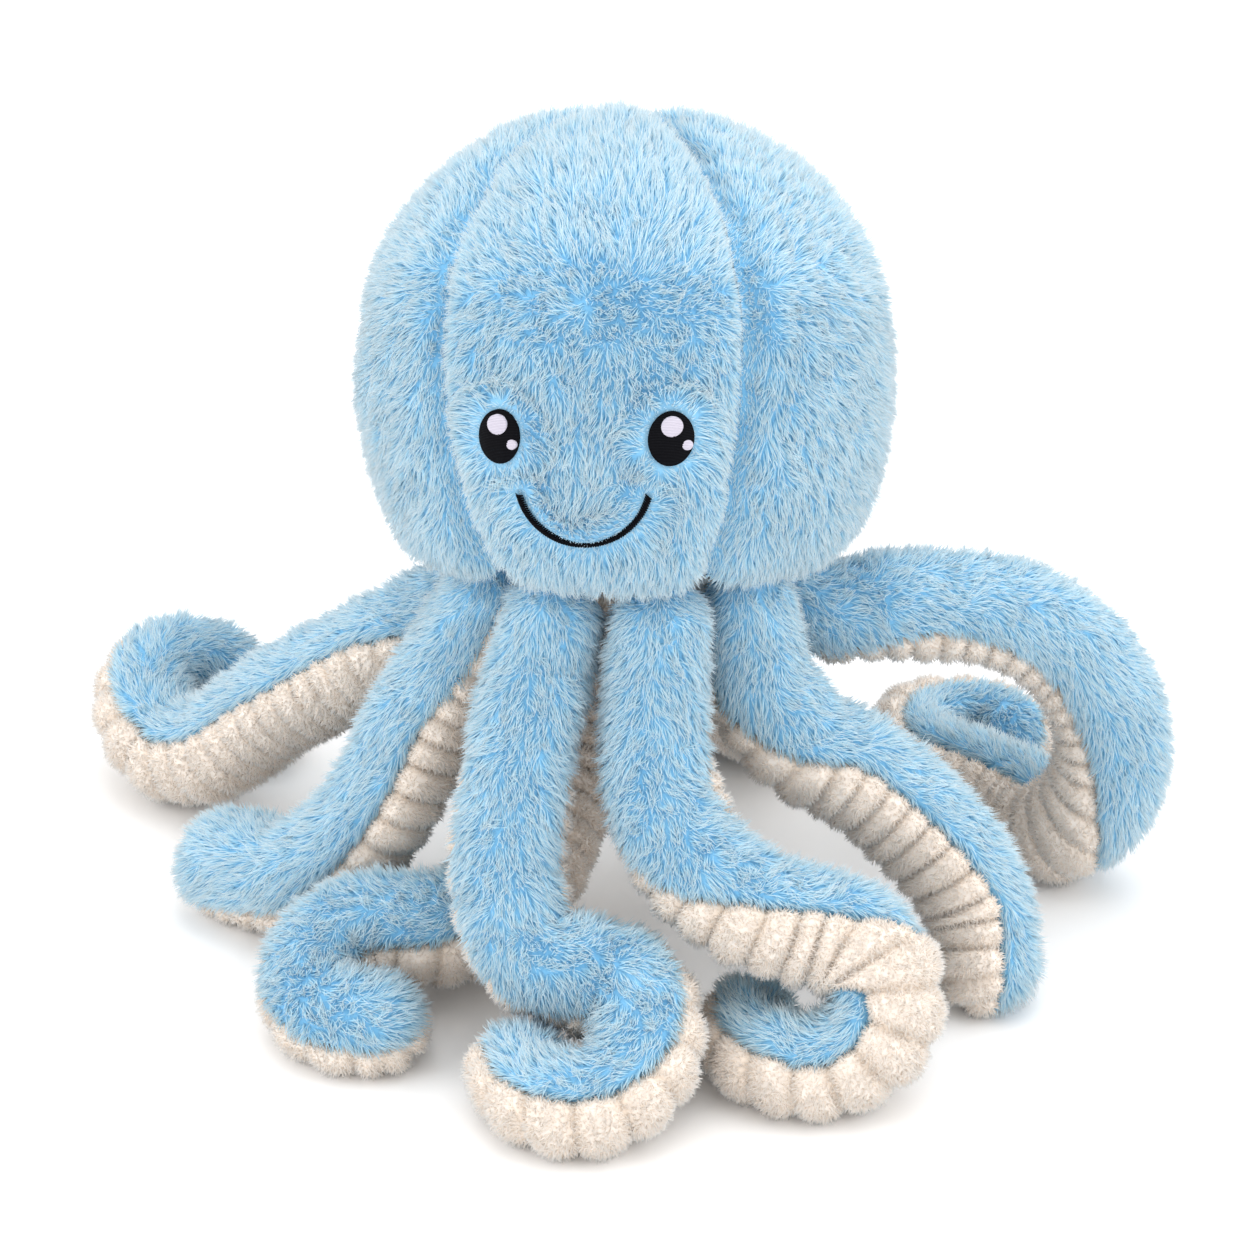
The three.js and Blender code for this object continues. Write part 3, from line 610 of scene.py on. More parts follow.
    def planted_hairs(self, hair):
        scatter = self.add("GeometryNodeDistributePointsOnFaces", {"distribute_method": "RANDOM"},
                           {"Mesh": self.given["Geometry"], "Density": self.given["Hairs per area"],
                            "Seed": self.given["Seed"]})
        normal = scatter.outputs["Normal"]
        points = self.stored(scatter.outputs["Points"], "hair_tint", self.hair_tint())
        points = self.stored(points, "hair_foot", self.named("cloth_rise"))
        points = self.stored(points, "hair_normal", normal, "FLOAT_VECTOR")
        source = self.add("GeometryNodeObjectInfo", {"transform_space": "ORIGINAL"})
        source.inputs["Object"].default_value = hair
        planted = self.add("GeometryNodeInstanceOnPoints", inputs={
            "Points": points, "Instance": source.outputs["Geometry"], "Rotation": self.hair_turn(normal),
            "Scale": self.hair_size()})
        return self.add("GeometryNodeRealizeInstances", inputs={"Geometry": planted.outputs[0]}).outputs[0]

    def mapped_hairs(self, hairs):
        """Each hair's place on the map: its tint across, and from its foot to its tip up."""
        across = self.maths("ADD", self.maths("MULTIPLY", self.named("hair_tint"), MAP_ACROSS), MAP_MARGIN)
        across = self.maths("ADD", across, self.maths("MULTIPLY", self.named("hair_side"), MAP_HAIR_SIDE))
        foot = self.maths("MULTIPLY", self.named("hair_foot"), self.given["Foot"])
        length = self.maths("SUBTRACT", MAP_TIP, foot)
        rise = self.maths("ADD", self.maths("MULTIPLY", length, self.named("hair_rise")), foot)
        spot = self.joined(across, self.maths("ADD", rise, MAP_FOOT))
        return self.stored(hairs, "OFBake", spot, "FLOAT2", "CORNER")

    def mapped_cloth(self):
        spot = self.joined(self.named("cloth_tint"), self.named("cloth_rise"))
        return self.stored(self.given["Geometry"], "OFBake", spot, "FLOAT2", "CORNER")


LONG_TREE = PileTree("long_pile", LONG_HAIR)
SHORT_TREE = PileTree("short_nap", SHORT_HAIR)
LONG_PILE = {"Hair length": PILE_LENGTH, "Hair width": PILE_WIDTH, "Tuft size": 0.0040, "Tuft pull": 1.05,
             "Lean": 0.85, "Swirl size": 0.010, "Swirl": 0.9, "Foot": 1.0, "Stray": 0.34,
             "Finish": BLUE_PILE}
# The nap's hairs start low on the map, so their roots carry painted shade.
SHORT_NAP = {"Hair length": NAP_LENGTH, "Hair width": NAP_WIDTH, "Tuft size": 0.0023, "Tuft pull": 0.9,
             "Lean": 0.2, "Swirl size": 0.006, "Swirl": 0.8, "Foot": 0.3, "Stray": 0.7,
             "Finish": CREAM_PILE}
KEPT_LAYERS = ("OFBake", "position", ".corner_vert", ".corner_edge", ".edge_verts", "sharp_face",
               "material_index", "sharp_edge", "custom_normal")


def point_vectors(source, key, count):
    values = np.empty(count * 3, np.float32)
    source.foreach_get(key, values)
    return values.reshape(-1, 3)


def grown(cloth, pile, values, density, seed, evenness):
    """The cloth with its pile as one plain mesh."""
    values = {**values, "Hairs per area": density, "Seed": seed}
    modifier = cloth.modifiers.new("pile", "NODES")
    modifier.node_group = pile.tree
    for label, value in values.items():
        modifier[pile.sockets[label]] = value
    bpy.context.view_layer.update()
    graph = bpy.context.evaluated_depsgraph_get()
    mesh = bpy.data.meshes.new_from_object(cloth.evaluated_get(graph), preserve_all_data_layers=True,
                                           depsgraph=graph)
    cloth.modifiers.clear()
    cloth.data = mesh
    count = len(mesh.vertices)
    under = point_vectors(mesh.attributes["hair_normal"].data, "vector", count)
    own = point_vectors(mesh.vertices, "normal", count)
    on_hair = np.linalg.norm(under, axis=1, keepdims=True) > 0.5
    soft = np.where(on_hair, unit(mix(own, under, evenness)), own)
    for layer in [a.name for a in mesh.attributes if a.name not in KEPT_LAYERS]:
        mesh.attributes.remove(mesh.attributes[layer])
    mesh.uv_layers.active = mesh.uv_layers["OFBake"]
    mesh.uv_layers["OFBake"].active_render = True
    mesh.polygons.foreach_set("use_smooth", np.ones(len(mesh.polygons), bool))
    places = point_vectors(mesh.vertices, "co", count)
    places[:, 2] = np.maximum(places[:, 2], LOWEST_HAIR)
    mesh.vertices.foreach_set("co", places.ravel())
    mesh.update()
    mesh.normals_split_custom_set_from_vertices(soft)
    return cloth


def long_pile(cloth, seed, density=PILE_DENSITY):
    return grown(cloth, LONG_TREE, LONG_PILE, density, seed, PILE_EVENNESS)


def short_nap(cloth, seed):
    return grown(cloth, SHORT_TREE, SHORT_NAP, NAP_DENSITY, seed, NAP_EVENNESS)


def blue_ground(points, face_shade_fade=1.0):
    """The blue cloth's tint and rise on its finish's map. The tint is scaled by the second argument, which
    darkens it near the sewn face as painted shade.
    """
    return {"cloth_tint": (BLUE_TINT + TINT_SPREAD * lumps(points, TINT_SWELLS, 5)) * face_shade_fade,
            "cloth_rise": BLUE_RISE + RISE_SPREAD * lumps(points, RISE_SWELLS, 6)}


# The legs' routes

class Curve:
    """A centripetal spline through points, read by shares of its length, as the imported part's is."""

    def __init__(self, points):
        self.points = np.asarray(points, float)
        row = self.at(np.linspace(0, 1, ROUTE_STEPS + 1))
        self.lengths = np.concatenate([[0], np.cumsum(np.linalg.norm(np.diff(row, axis=0), axis=1))])

    def at(self, t):
        pts = self.points
        t = np.atleast_1d(np.asarray(t, float))
        last = len(pts) - 1
        place = last * t
        low = np.minimum(np.floor(place).astype(int), last - 1)
        w = (place - low)[:, None]
        padded = np.vstack([2 * pts[0] - pts[1], pts, 2 * pts[-1] - pts[-2]])
        p0, p1, p2, p3 = (padded[low + k] for k in range(4))
        d0, d1, d2 = (np.sqrt(np.linalg.norm(b - a, axis=1, keepdims=True))
                      for a, b in ((p0, p1), (p1, p2), (p2, p3)))
        d1 = np.where(d1 < 1e-4, 1.0, d1)
        d0 = np.where(d0 < 1e-4, d1, d0)
        d2 = np.where(d2 < 1e-4, d1, d2)
        t1 = ((p1 - p0) / d0 - (p2 - p0) / (d0 + d1) + (p2 - p1) / d1) * d1
        t2 = ((p2 - p1) / d1 - (p3 - p1) / (d1 + d2) + (p3 - p2) / d2) * d1
        square = -3 * p1 + 3 * p2 - 2 * t1 - t2
        cube = 2 * p1 - 2 * p2 + t1 + t2
        return p1 + t1 * w + square * w ** 2 + cube * w ** 3

    def even(self, share):
        """The spline's own parameter at shares of its length."""
        parameters = np.arange(ROUTE_STEPS + 1) / ROUTE_STEPS
        return np.interp(np.asarray(share) * self.lengths[-1], self.lengths, parameters)


def leg_root(name):
    side = LEGS[name][0]
    place = [n for n in LEGS if LEGS[n][0] == side].index(name) + 0.5
    angle = math.radians(FACE_TURN + side * place * LEG_STEP)
    root = np.array([math.sin(angle), -math.cos(angle), 0]) * RING_RADIUS
    return turned_x(root, -HEAD_LEAN) + np.array([0, 0, NECK_HEIGHT])


def leg_radius(tip, share):
    swell = mix(LEG_ROOT_RADIUS, LEG_FULL_RADIUS, smooth(share, 0, SWELL_END))
    return mix(swell, tip * LEG_TIP_RADIUS, smooth(share, TAPER_START, 1))


def facing_between(keys, share):
    at = share * (len(keys) - 1)
    low = min(int(at), len(keys) - 2)
    a, b = unit(keys[low]), unit(keys[low + 1])
    return unit(a + (b - a) * (at - low))


def add_curl(curl, points, facings):
    """Carries a leg's points and facings on round one curl."""
    start = points[-1]
    first = facings[-1]
    ahead = unit((points[-1] - points[-2]) * (1, 1, 0))
    toward = np.array([*curl["toward"], 0.0])
    toward = unit(toward - ahead * (toward @ ahead))
    radius = curl["radius"] * LEG_FULL_RADIUS
    steps = round(curl["turn"] / CURL_STEP)
    for i in range(1, steps + 1):
        share = i / steps
        angle = math.radians(curl["turn"] * share)
        outward = ahead * math.sin(angle) - toward * math.cos(angle)
        point = start + ahead * radius * math.sin(angle)
        point = point + toward * curl.get("flat", 1) * radius * (1 - math.cos(angle))
        point[2] = mix(start[2], curl["end"] * NECK_HEIGHT, float(smooth(share, 0, curl["drop"])))
        hump = max(math.sin(math.pi * share), 0) ** RISE_SHARPNESS
        point[2] += curl.get("rise", 0) * NECK_HEIGHT * hump
        points.append(point)
        if "facings" in curl:
            facings.append(facing_between([first, *curl["facings"]], share))
        else:
            facings.append(unit(-CURL_FACING_IN * outward + CURL_FACING_UP * np.array([0, 0, 1])))


def leg_route(name):
    """A leg's path along its lowest line, and the way that its top faces."""
    _, _, run, curls = LEGS[name]
    root = leg_root(name)
    points = [np.array([root[0], root[1], root[2] - LEG_ROOT_RADIUS])]
    facings = [unit(run[0][3:])]
    for row in run:
        points.append(np.array([row[0] * LEG_REACH, row[1] * LEG_REACH, row[2] * NECK_HEIGHT]))
        facings.append(unit(row[3:]))
    for curl in curls:
        add_curl(curl, points, facings)
    return Curve(points), Curve(facings)


def leg_stations(name, spacing):
    """Sections along a leg, its round ends with it: middles, frames, radii and the distance along."""
    tip = LEGS[name][1]
    path, facing = leg_route(name)
    length = path.lengths[-1]
    steps = max(round(length / spacing), 8)
    share = np.linspace(0, 1, steps + 1)
    root_cap = np.radians(np.linspace(*CAP_ANGLES, CAP_ROWS))
    tip_cap = root_cap[::-1]
    shares = np.concatenate([np.zeros(CAP_ROWS), share, np.ones(CAP_ROWS)])
    ends = np.concatenate([-np.ones(CAP_ROWS), np.zeros(len(share)), np.ones(CAP_ROWS)])
    angles = np.concatenate([root_cap, np.full(len(share), math.pi / 2), tip_cap])

    def middle(s):
        lift = leg_radius(tip, s) - FLOOR_FLAT
        return path.at(path.even(s)) + np.stack([0 * s, 0 * s, lift], 1)

    nudge = 0.5 / ROUTE_STEPS
    along = unit(middle(np.minimum(shares + nudge, 1)) - middle(np.maximum(shares - nudge, 0)))
    top = facing.at(path.even(shares))
    top = unit(top - along * np.sum(top * along, 1, keepdims=True))
    side = np.cross(along, top)
    radius = leg_radius(tip, shares)
    centre = middle(shares) + along * (ends * radius * np.cos(angles))[:, None]
    distance = shares * length + ends * radius * (math.pi / 2 - angles)
    bend = np.gradient(along, axis=0) / np.maximum(np.gradient(distance), 1e-5)[:, None]
    bend[ends != 0] = 0
    return dict(centre=centre, along=along, top=top, side=side, radius=radius, cap=np.sin(angles),
                ends=ends, distance=distance - distance[0], bend=bend)


def leg_cloth(s, t, angle, shape):
    """A swept half of a leg over stations s, with angles across at each one. shape gives the cloth's height
    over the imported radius, and what else it says of the cloth."""
    way = s["top"][:, None] * np.cos(angle)[..., None] + s["side"][:, None] * np.sin(angle)[..., None]
    squeeze = np.maximum(np.sum(way * s["bend"][:, None], -1) * s["radius"][:, None], 0)
    height, floats = shape(s, t, squeeze)
    reach = s["radius"][:, None] * s["cap"][:, None] + height * np.sqrt(s["cap"])[:, None]
    points = s["centre"][:, None] + way * np.maximum(reach, THINNEST)[..., None]
    cap_shift = s["ends"] * np.sqrt(1 - s["cap"] ** 2)
    points = points + s["along"][:, None] * (cap_shift[:, None] * height)[..., None]
    points = points + np.array(NECK_PLACE)
    points = points + way * (LEG_UNEVEN * lumps(points, LEG_SWELLS, 11))[..., None]
    points[..., 2] = np.maximum(points[..., 2], LOWEST_CLOTH)
    points = points.reshape(-1, 3)
    faces = facing_out(points, grid_faces(*angle.shape), way)
    return points, faces, {key: value.ravel() for key, value in floats.items()}


def cream_at_root(name):
    return CREAM_AT_ROOT.get(name, PLAIN_CREAM_AT_ROOT)


def blue_shape(s, t, squeeze):
    tuck = smooth(np.abs(t), TUCK_START, 1.0)
    fold = 0.5 - 0.5 * np.cos(2 * math.pi * s["distance"] / FOLD_PITCH)[:, None]
    fold = fold * np.interp(squeeze, FOLD_SQUEEZE, (0, 1)) * smooth(s["distance"], *FOLDS_BEGIN)[:, None]
    height = -CLOTH_SINK - TUCK_DEPTH * tuck - FOLD_DEPTH * fold
    share = mix(BLUE_ROOT_SHARE, 1.0, smooth(s["distance"], *BLUE_ROOT_ZONE))[:, None]
    return height, {"pile_share": share * (1 - BLUE_EDGE_LOSS * smooth(np.abs(t), BLUE_EDGE_START, 1))}


def blue_cover(name, seed):
    s = leg_stations(name, BLUE_SPACING)
    t = np.linspace(-1, 1, BLUE_COLUMNS)
    at_root = min(COVERS_AT_ROOT - cream_at_root(name), BLUE_AT_ROOT)
    half = np.radians(mix(at_root, BLUE_HALF, smooth(s["distance"], *ROOT_STRIP)))[:, None]
    points, faces, floats = leg_cloth(s, t[None, :], half * t[None, :], blue_shape)
    edge = np.tile(smooth(np.abs(t), COMB_TO_TOP_START, 1.0), len(half))[:, None]
    comb = np.repeat(s["along"], BLUE_COLUMNS, axis=0) * COMB_ALONG + COMB_DOWN
    comb = comb + np.repeat(s["top"], BLUE_COLUMNS, axis=0) * COMB_TO_TOP * edge
    floats.update(blue_ground(points))
    return long_pile(mesh_piece(name + "_blue_cover", points, faces, floats, {"comb": comb}), seed)


def rib_profile(distance):
    turn = np.mod(distance / RIB_PITCH, 1)
    return np.sqrt(np.maximum(1 - np.abs(2 * turn - 1) ** RIB_ROUNDNESS, 0))


def cream_shape(s, t, squeeze):
    rib = rib_profile(s["distance"])[:, None]
    edge = np.sqrt(np.maximum(1 - np.abs(t) ** RIB_EDGE_POWER, 0))
    height = -CREAM_SINK + RIB_HEIGHT * rib * edge * (1 + RIB_BULGE * np.clip(squeeze, 0, 1))
    height = height - CREAM_TUCK * np.abs(t) ** CREAM_TUCK_POWER
    share = NAP_IN_GROOVE + (1 - NAP_IN_GROOVE) * rib * edge
    share = share * mix(CREAM_ROOT_SHARE, 1, smooth(s["distance"], *CREAM_ROOT_ZONE))[:, None]
    # A lower rise is darker: painted shade in the grooves between the ribs and at the tucked edges.
    rise = CREAM_RISE + CREAM_RIB_RISE * (rib * (0.4 + 0.6 * edge)) ** CREAM_RISE_POWER
    return height, {"pile_share": share, "cloth_rise": rise}


def cream_cover(name, seed):
    s = leg_stations(name, CREAM_SPACING)
    t = np.linspace(-1, 1, CREAM_COLUMNS)[None, :]
    half = mix(cream_at_root(name), CREAM_HALF, smooth(s["distance"], *ROOT_STRIP)[:, None])
    half = np.radians(half + CREAM_AT_RIBS * rib_profile(s["distance"])[:, None])
    points, faces, floats = leg_cloth(s, t, math.pi + half * t, cream_shape)
    comb = np.repeat(s["along"], CREAM_COLUMNS, axis=0) * NAP_COMB
    floats["cloth_tint"] = CREAM_TINT + TINT_SPREAD * lumps(points, TINT_SWELLS, 8)
    return short_nap(mesh_piece(name + "_cream_cover", points, faces, floats, {"comb": comb}), seed)


# The head

HEAD_PLACE = np.array([0, 0, NECK_HEIGHT]) + turned_x(np.array([0.0, 0, HEAD_RISE]), -HEAD_LEAN)


def in_place(points):
    """From the head's own upright frame to the part's."""
    return turned_x(np.asarray(points, float), -HEAD_LEAN) + HEAD_PLACE + np.array(NECK_PLACE)


def head_reach(way):
    """How far the head's outside is from its middle, along unit ways in its own frame."""
    level = np.hypot(way[..., 0], way[..., 1])
    power = np.where(way[..., 2] > 0, CROWN_FULLNESS, JAW_FULLNESS)
    return HEAD_RADIUS / (np.abs(way[..., 2]) ** power + level ** power) ** (1 / power)


def head_radius_at(height):
    height = np.asarray(height, float)
    power = np.where(height > 0, CROWN_FULLNESS, JAW_FULLNESS)
    part = np.minimum(np.abs(height) / HEAD_RADIUS, 1)
    return HEAD_RADIUS * np.maximum(1 - part ** power, 0) ** (1 / power)


def face_point(across, up, out):
    """A place on the face, from between the eyes, and out from the head's surface there."""
    roll = math.radians(FACE_ROLL)
    across, up, out = (np.asarray(v, float) for v in (across, up, out))
    x = across * math.cos(roll) + up * math.sin(roll)
    height = up * math.cos(roll) + across * math.sin(roll) - EYES_BELOW_MIDDLE

    def point_at(level):
        radius = head_radius_at(level)
        angle = math.radians(FACE_TURN) + np.arcsin(x / radius)
        return np.stack([radius * np.sin(angle), -radius * np.cos(angle), level], -1)

    point = point_at(height)
    upward = unit(point_at(height + 0.0003) - point_at(height - 0.0003))
    level = unit(np.stack([-point[..., 1], point[..., 0], 0 * point[..., 0]], -1))
    return point + unit(np.cross(level, upward)) * out[..., None]


def mouth_line(count):
    """Places along the smile, across and up from between the eyes, and the arc's angle at each."""
    half = MOUTH_WIDTH / 2
    radius = (half ** 2 + MOUTH_DEPTH ** 2) / (2 * MOUTH_DEPTH)
    angle = math.asin(min(half / radius, 1)) * np.linspace(-1, 1, count)
    drop = MOUTH_DEPTH - radius + radius * np.cos(angle)
    return radius * np.sin(angle), -MOUTH_BELOW_EYES - drop, angle


def face_marks():
    """Points all over the eyes and along the mouth, in the head's own frame."""
    turn = np.linspace(0, 2 * math.pi, 40, endpoint=False)
    marks = []
    for side in (-1, 1):
        for k in MARKED_RINGS:
            marks.append(face_point(side * EYE_SPACING / 2 + k * EYE_WIDTH / 2 * np.cos(turn),
                                    k * EYE_HEIGHT / 2 * np.sin(turn), 0 * turn))
    x, y, _ = mouth_line(90)
    marks.append(face_point(x, y, 0 * x))
    return np.vstack(marks)


FACE_MARKS = face_marks()
PANEL_NODES = ["face_panel", "right_panel", "back_right_panel", "back_left_panel", "left_panel"]


def mark_distances(points):
    """How far each point is from the sewn face, worked out for a few of its marks at a time."""
    near = np.full(len(points), 1.0)
    batch = 60
    for start in range(0, len(FACE_MARKS), batch):
        some = np.linalg.norm(points[:, None] - FACE_MARKS[None, start:start + batch], axis=2).min(1)
        near = np.minimum(near, some)
    return near


def panel_ways(index, fall, swing):
    """Ways from the head's middle to a panel, by their fall from the crown and swing from its midline."""
    turn = math.radians(FACE_TURN) + index * 2 * math.pi / PANEL_COUNT + swing
    way = np.stack([np.sin(fall) * np.sin(turn), -np.sin(fall) * np.cos(turn), np.cos(fall) + 0 * turn], -1)
    return turned_x(way, -SEAM_LEAN)


def panel_fall(index, swing, step):
    """The fall at each step down a panel, to where it meets the flat base."""
    fall = np.linspace(CROWN_HOLE, math.pi, 400)[:, None]
    way = panel_ways(index, fall, swing)
    height = way[..., 2] * head_reach(way)
    lowest = [np.interp(-BASE_HEIGHT, -column, fall[:, 0]) for column in height.T]
    return CROWN_HOLE + step * (np.array(lowest)[None, :] - CROWN_HOLE)


def panel_relief(index, points, aside, swing, step):
    """How far a panel's cloth stands off the head's surface: seams, stuffing, wrinkles and unevenness."""
    half = math.pi / PANEL_COUNT
    wide = smooth(aside, *SEAM_TOP)
    groove = SEAM_DEPTH * np.exp(-(aside * (half - np.abs(swing)) / SEAM_WIDTH) ** 2) * wide
    pillow = PILLOW_HEIGHT * (1 - (swing / half) ** 2) * wide
    depth = WRINKLE_DEPTH if index == WRINKLED_PANEL else FAINT_WRINKLES * WRINKLE_DEPTH
    drift = WRINKLE_DRIFT * lumps(points, WRINKLE_SWELLS, 23)
    wave = np.sin(2 * math.pi * (aside * swing / WRINKLE_PITCH + drift))
    wrinkle = depth * wave * wide * (1 - smooth(step, *WRINKLE_END))
    uneven = 0.0007 * lumps(points, 0.05, 21) + 0.0005 * lumps(points, 0.022, 22)
    return -CLOTH_SINK - groove + pillow + wrinkle + uneven


def panel_cloth(index):
    """A panel's points, with rows turned in under its hem, the ways they face, and their aside and swing."""
    swing = np.linspace(-1, 1, PANEL_COLUMNS)[None, :] * math.pi / PANEL_COUNT
    step = np.linspace(0, 1, PANEL_ROWS)[:, None]
    fall = panel_fall(index, swing, step)
    way = panel_ways(index, fall, swing)
    points = way * head_reach(way)[..., None]
    aside = HEAD_RADIUS * np.sin(fall)
    points = points + way * panel_relief(index, points, aside, swing, step)[..., None]
    hem = smooth(step, HEM_START, 1.0)
    points = points * (1 - HEM_TUCK * hem[..., None] * np.array([1, 1, 0]))
    turned_in = [points[-1] * (k, k, 1) + np.array([0, 0, HEM_LIFT]) for k in HEM_TURNS]
    extra = len(HEM_TURNS)
    points = np.concatenate([points, np.array(turned_in)])
    way = np.concatenate([way, np.tile((0.0, 0.0, -1.0), (extra, PANEL_COLUMNS, 1))])
    aside = np.concatenate([aside, np.tile(aside[-1], (extra, 1))])
    return points, way, aside, swing


def panel_share(aside, swing, near):
    """A panel's pile is shorter at its seams and its turned-in rows, and cut down where the face is sewn."""
    from_seam = aside * (math.pi / PANEL_COUNT - np.abs(swing))
    at_seam = mix(1.0, SEAM_PILE_SHARE, smooth(aside, *SEAM_TOP))
    share = mix(at_seam, 1.0, smooth(from_seam, 0, SEAM_PILE_ZONE)).ravel()
    hang = np.where(np.arange(len(aside)) < PANEL_ROWS, 1.0, HEM_PILE_SHARE)[:, None] + 0 * swing
    share = np.minimum(share, mix(MARK_SHORT_SHARE, 1.0, smooth(near, *MARK_SHORT))) * hang.ravel()
    return share * mix(MARK_CUT_SHARE, 1.0, smooth(near, *MARK_CUT))


def panel_comb(index, points, outward, near):
    """The pile lies down the face and the sides, back over the top, and away from what is sewn on."""
    down = unit(np.gradient(points, axis=0).reshape(-1, 3))
    back = np.array([0, 1.0, 0]) - outward * outward[:, 1:2]
    comb = mix(down, unit(back), smooth(outward[:, 2:3], *BRUSHED_BACK))
    if index == 0:
        flat = points.reshape(-1, 3)
        marks = FACE_MARKS[::6]
        gaps = np.linalg.norm(flat[:, None] - marks[None], axis=2)
        away = flat - marks[np.argmin(gaps, 1)]
        weight = (1 - smooth(near, *MARK_BRUSHED))[:, None]
        comb = comb * (1 - weight) + unit(away) * weight * MARK_BRUSH
    return turned_x(comb, -HEAD_LEAN)


def head_panel(index, seed):
    points, way, aside, swing = panel_cloth(index)
    flat = points.reshape(-1, 3)
    outward = way.reshape(-1, 3)
    near = mark_distances(flat) if index == 0 else np.full(len(flat), 1.0)
    # Round the sewn face the cloth's tint and its hairs' tint are lowered, a painted shade in place of the
    # full pile's shadow, and its rise is lifted out of the roots' painted shade.
    bare = smooth(near, *MARK_SHORT)
    floats = blue_ground(flat, bare)
    floats["cloth_rise"] = floats["cloth_rise"] + MARK_RISE * (1 - bare)
    floats["pile_share"] = panel_share(aside, swing, near)
    comb = panel_comb(index, points, outward, near)
    placed = in_place(flat)
    faces = facing_out(placed, grid_faces(*aside.shape), turned_x(outward, -HEAD_LEAN))
    return long_pile(mesh_piece(PANEL_NODES[index] + "_cover", placed, faces, floats, {"comb": comb}), seed)


def base_patch():
    radius = float(head_radius_at(BASE_HEIGHT)) * BASE_SHARE
    ring = np.linspace(BASE_HOLE, 1, BASE_RINGS)[:, None] * radius
    turn = np.linspace(0, 2 * math.pi, BASE_SPOKES)[None, :]
    rim = smooth(ring / radius, BASE_RIM_START, 1.0)
    height = BASE_HEIGHT + BASE_LIFT + BASE_RIM_RISE * rim + 0 * turn
    points = np.stack([ring * np.cos(turn), ring * np.sin(turn), height], -1).reshape(-1, 3)
    placed = in_place(points)
    down = np.tile((0.0, 0.0, -1.0), (len(points), 1))
    faces = facing_out(placed, grid_faces(BASE_RINGS, BASE_SPOKES), down)
    floats = {"pile_share": np.full(len(points), BASE_PILE_SHARE), **blue_ground(points)}
    cloth = mesh_piece("base_patch", placed, faces, floats, {"comb": 0 * points})
    return long_pile(cloth, 77, PILE_DENSITY * BASE_PILE_SHARE)


# The sewn face

def stitched(name, points, faces, spots, finish):
    """A piece of stitching, with its places on the face as the map that its threads follow."""
    made = mesh_piece(name, in_place(points), faces)
    layer = made.data.uv_layers.new(name="stitch_map")
    corner = np.empty(len(made.data.loops), int)
    made.data.loops.foreach_get("vertex_index", corner)
    layer.data.foreach_set("uv", spots[corner].astype(np.float32).ravel())
    made.data.materials.append(finish)
    return made


def satin_oval(name, centre, width, height, padding, lift, finish, rings=18, segments=72):
    """A padded satin-stitched oval that follows the head, with its edge turned down."""
    ring = np.concatenate([np.linspace(0.02, 1, rings), [1.0]])[:, None]
    turn = np.linspace(0, 2 * math.pi, segments, endpoint=False)[None, :]
    x = ring * width / 2 * np.cos(turn)
    y = ring * height / 2 * np.sin(turn)
    rise = lift + padding * (1 - ring ** OVAL_FULLNESS) + 0 * turn
    rise[-1] = lift - OVAL_SKIRT
    rise[-2] = lift + OVAL_EDGE_RISE
    rise = rise + ROW_HEIGHT * np.sin(2 * math.pi * y / ROW_PITCH) * (ring < ROWS_END)
    flat = face_point(centre[0] + x, centre[1] + y, rise).reshape(-1, 3)
    pole = face_point([centre[0]], [centre[1]], [lift + padding])
    points = np.vstack([flat, pole])
    faces = [(a, d, c, b) for a, b, c, d in ring_faces(rings + 1, segments)]
    faces += [(len(flat), c, (c + 1) % segments) for c in range(segments)]
    spots = np.vstack([np.stack([x, y], -1).reshape(-1, 2), [[0.0, 0.0]]])
    return stitched(name, points, faces, spots, finish)


def sewn_stitch(x, y, angle):
    """One slanted satin stitch across the mouth's arc: rings of places on the face, and their heights."""
    tangent = np.array([math.cos(angle), math.sin(angle)])
    slant = unit(np.array([-tangent[1], tangent[0]]) + STITCH_SLANT * tangent)
    spots = []
    heights = []
    for t in np.linspace(-1, 1, STITCH_STEPS):
        half = STITCH_THICKNESS * math.sqrt(max(1 - (STITCH_TAPER * t) ** 2, 0))
        arch = STITCH_ARCH * (1 - t * t) + STITCH_FOOT
        for j in range(STITCH_SIDES):
            turn = 2 * math.pi * j / STITCH_SIDES
            spots.append(np.array([x, y]) + slant * t * STITCH_REACH + tangent * half * math.cos(turn))
            heights.append(STITCH_LIFT + arch + half * math.sin(turn))
    return spots, heights


def sewn_smile():
    spots = []
    heights = []
    faces = []
    last = (STITCH_STEPS - 1) * STITCH_SIDES
    for x, y, angle in zip(*mouth_line(SMILE_STITCHES)):
        base = len(spots)
        stitch_spots, stitch_heights = sewn_stitch(x, y, angle)
        spots += stitch_spots
        heights += stitch_heights
        faces += ring_faces(STITCH_STEPS, STITCH_SIDES, base)
        faces.append(tuple(base + j for j in reversed(range(STITCH_SIDES))))
        faces.append(tuple(base + last + j for j in range(STITCH_SIDES)))
    spots = np.array(spots)
    points = face_point(spots[:, 0], spots[:, 1], heights)
    return stitched("sewn_smile", points, faces, spots, BLACK_THREAD)


# The camera, the lights and the floor

def aimed(thing, name, place, aim):
    """A camera or lamp, put at its place and turned to look at aim."""
    put = bpy.data.objects.new(name, thing)
    put.location = place
    put.rotation_euler = (Vector(aim) - put.location).to_track_quat("-Z", "Y").to_euler()
    bpy.context.scene.collection.objects.link(put)
    return put


def photo_camera():
    lens = bpy.data.cameras.new("camera")
    lens.lens = CAMERA_LENS
    lens.sensor_width = SENSOR_WIDTH
    lens.sensor_fit = "HORIZONTAL"
    lens.clip_end = 50
    bpy.context.scene.camera = aimed(lens, "camera", CAMERA_PLACE, CAMERA_AIM)
    bpy.context.scene.view_settings.view_transform = "Standard"


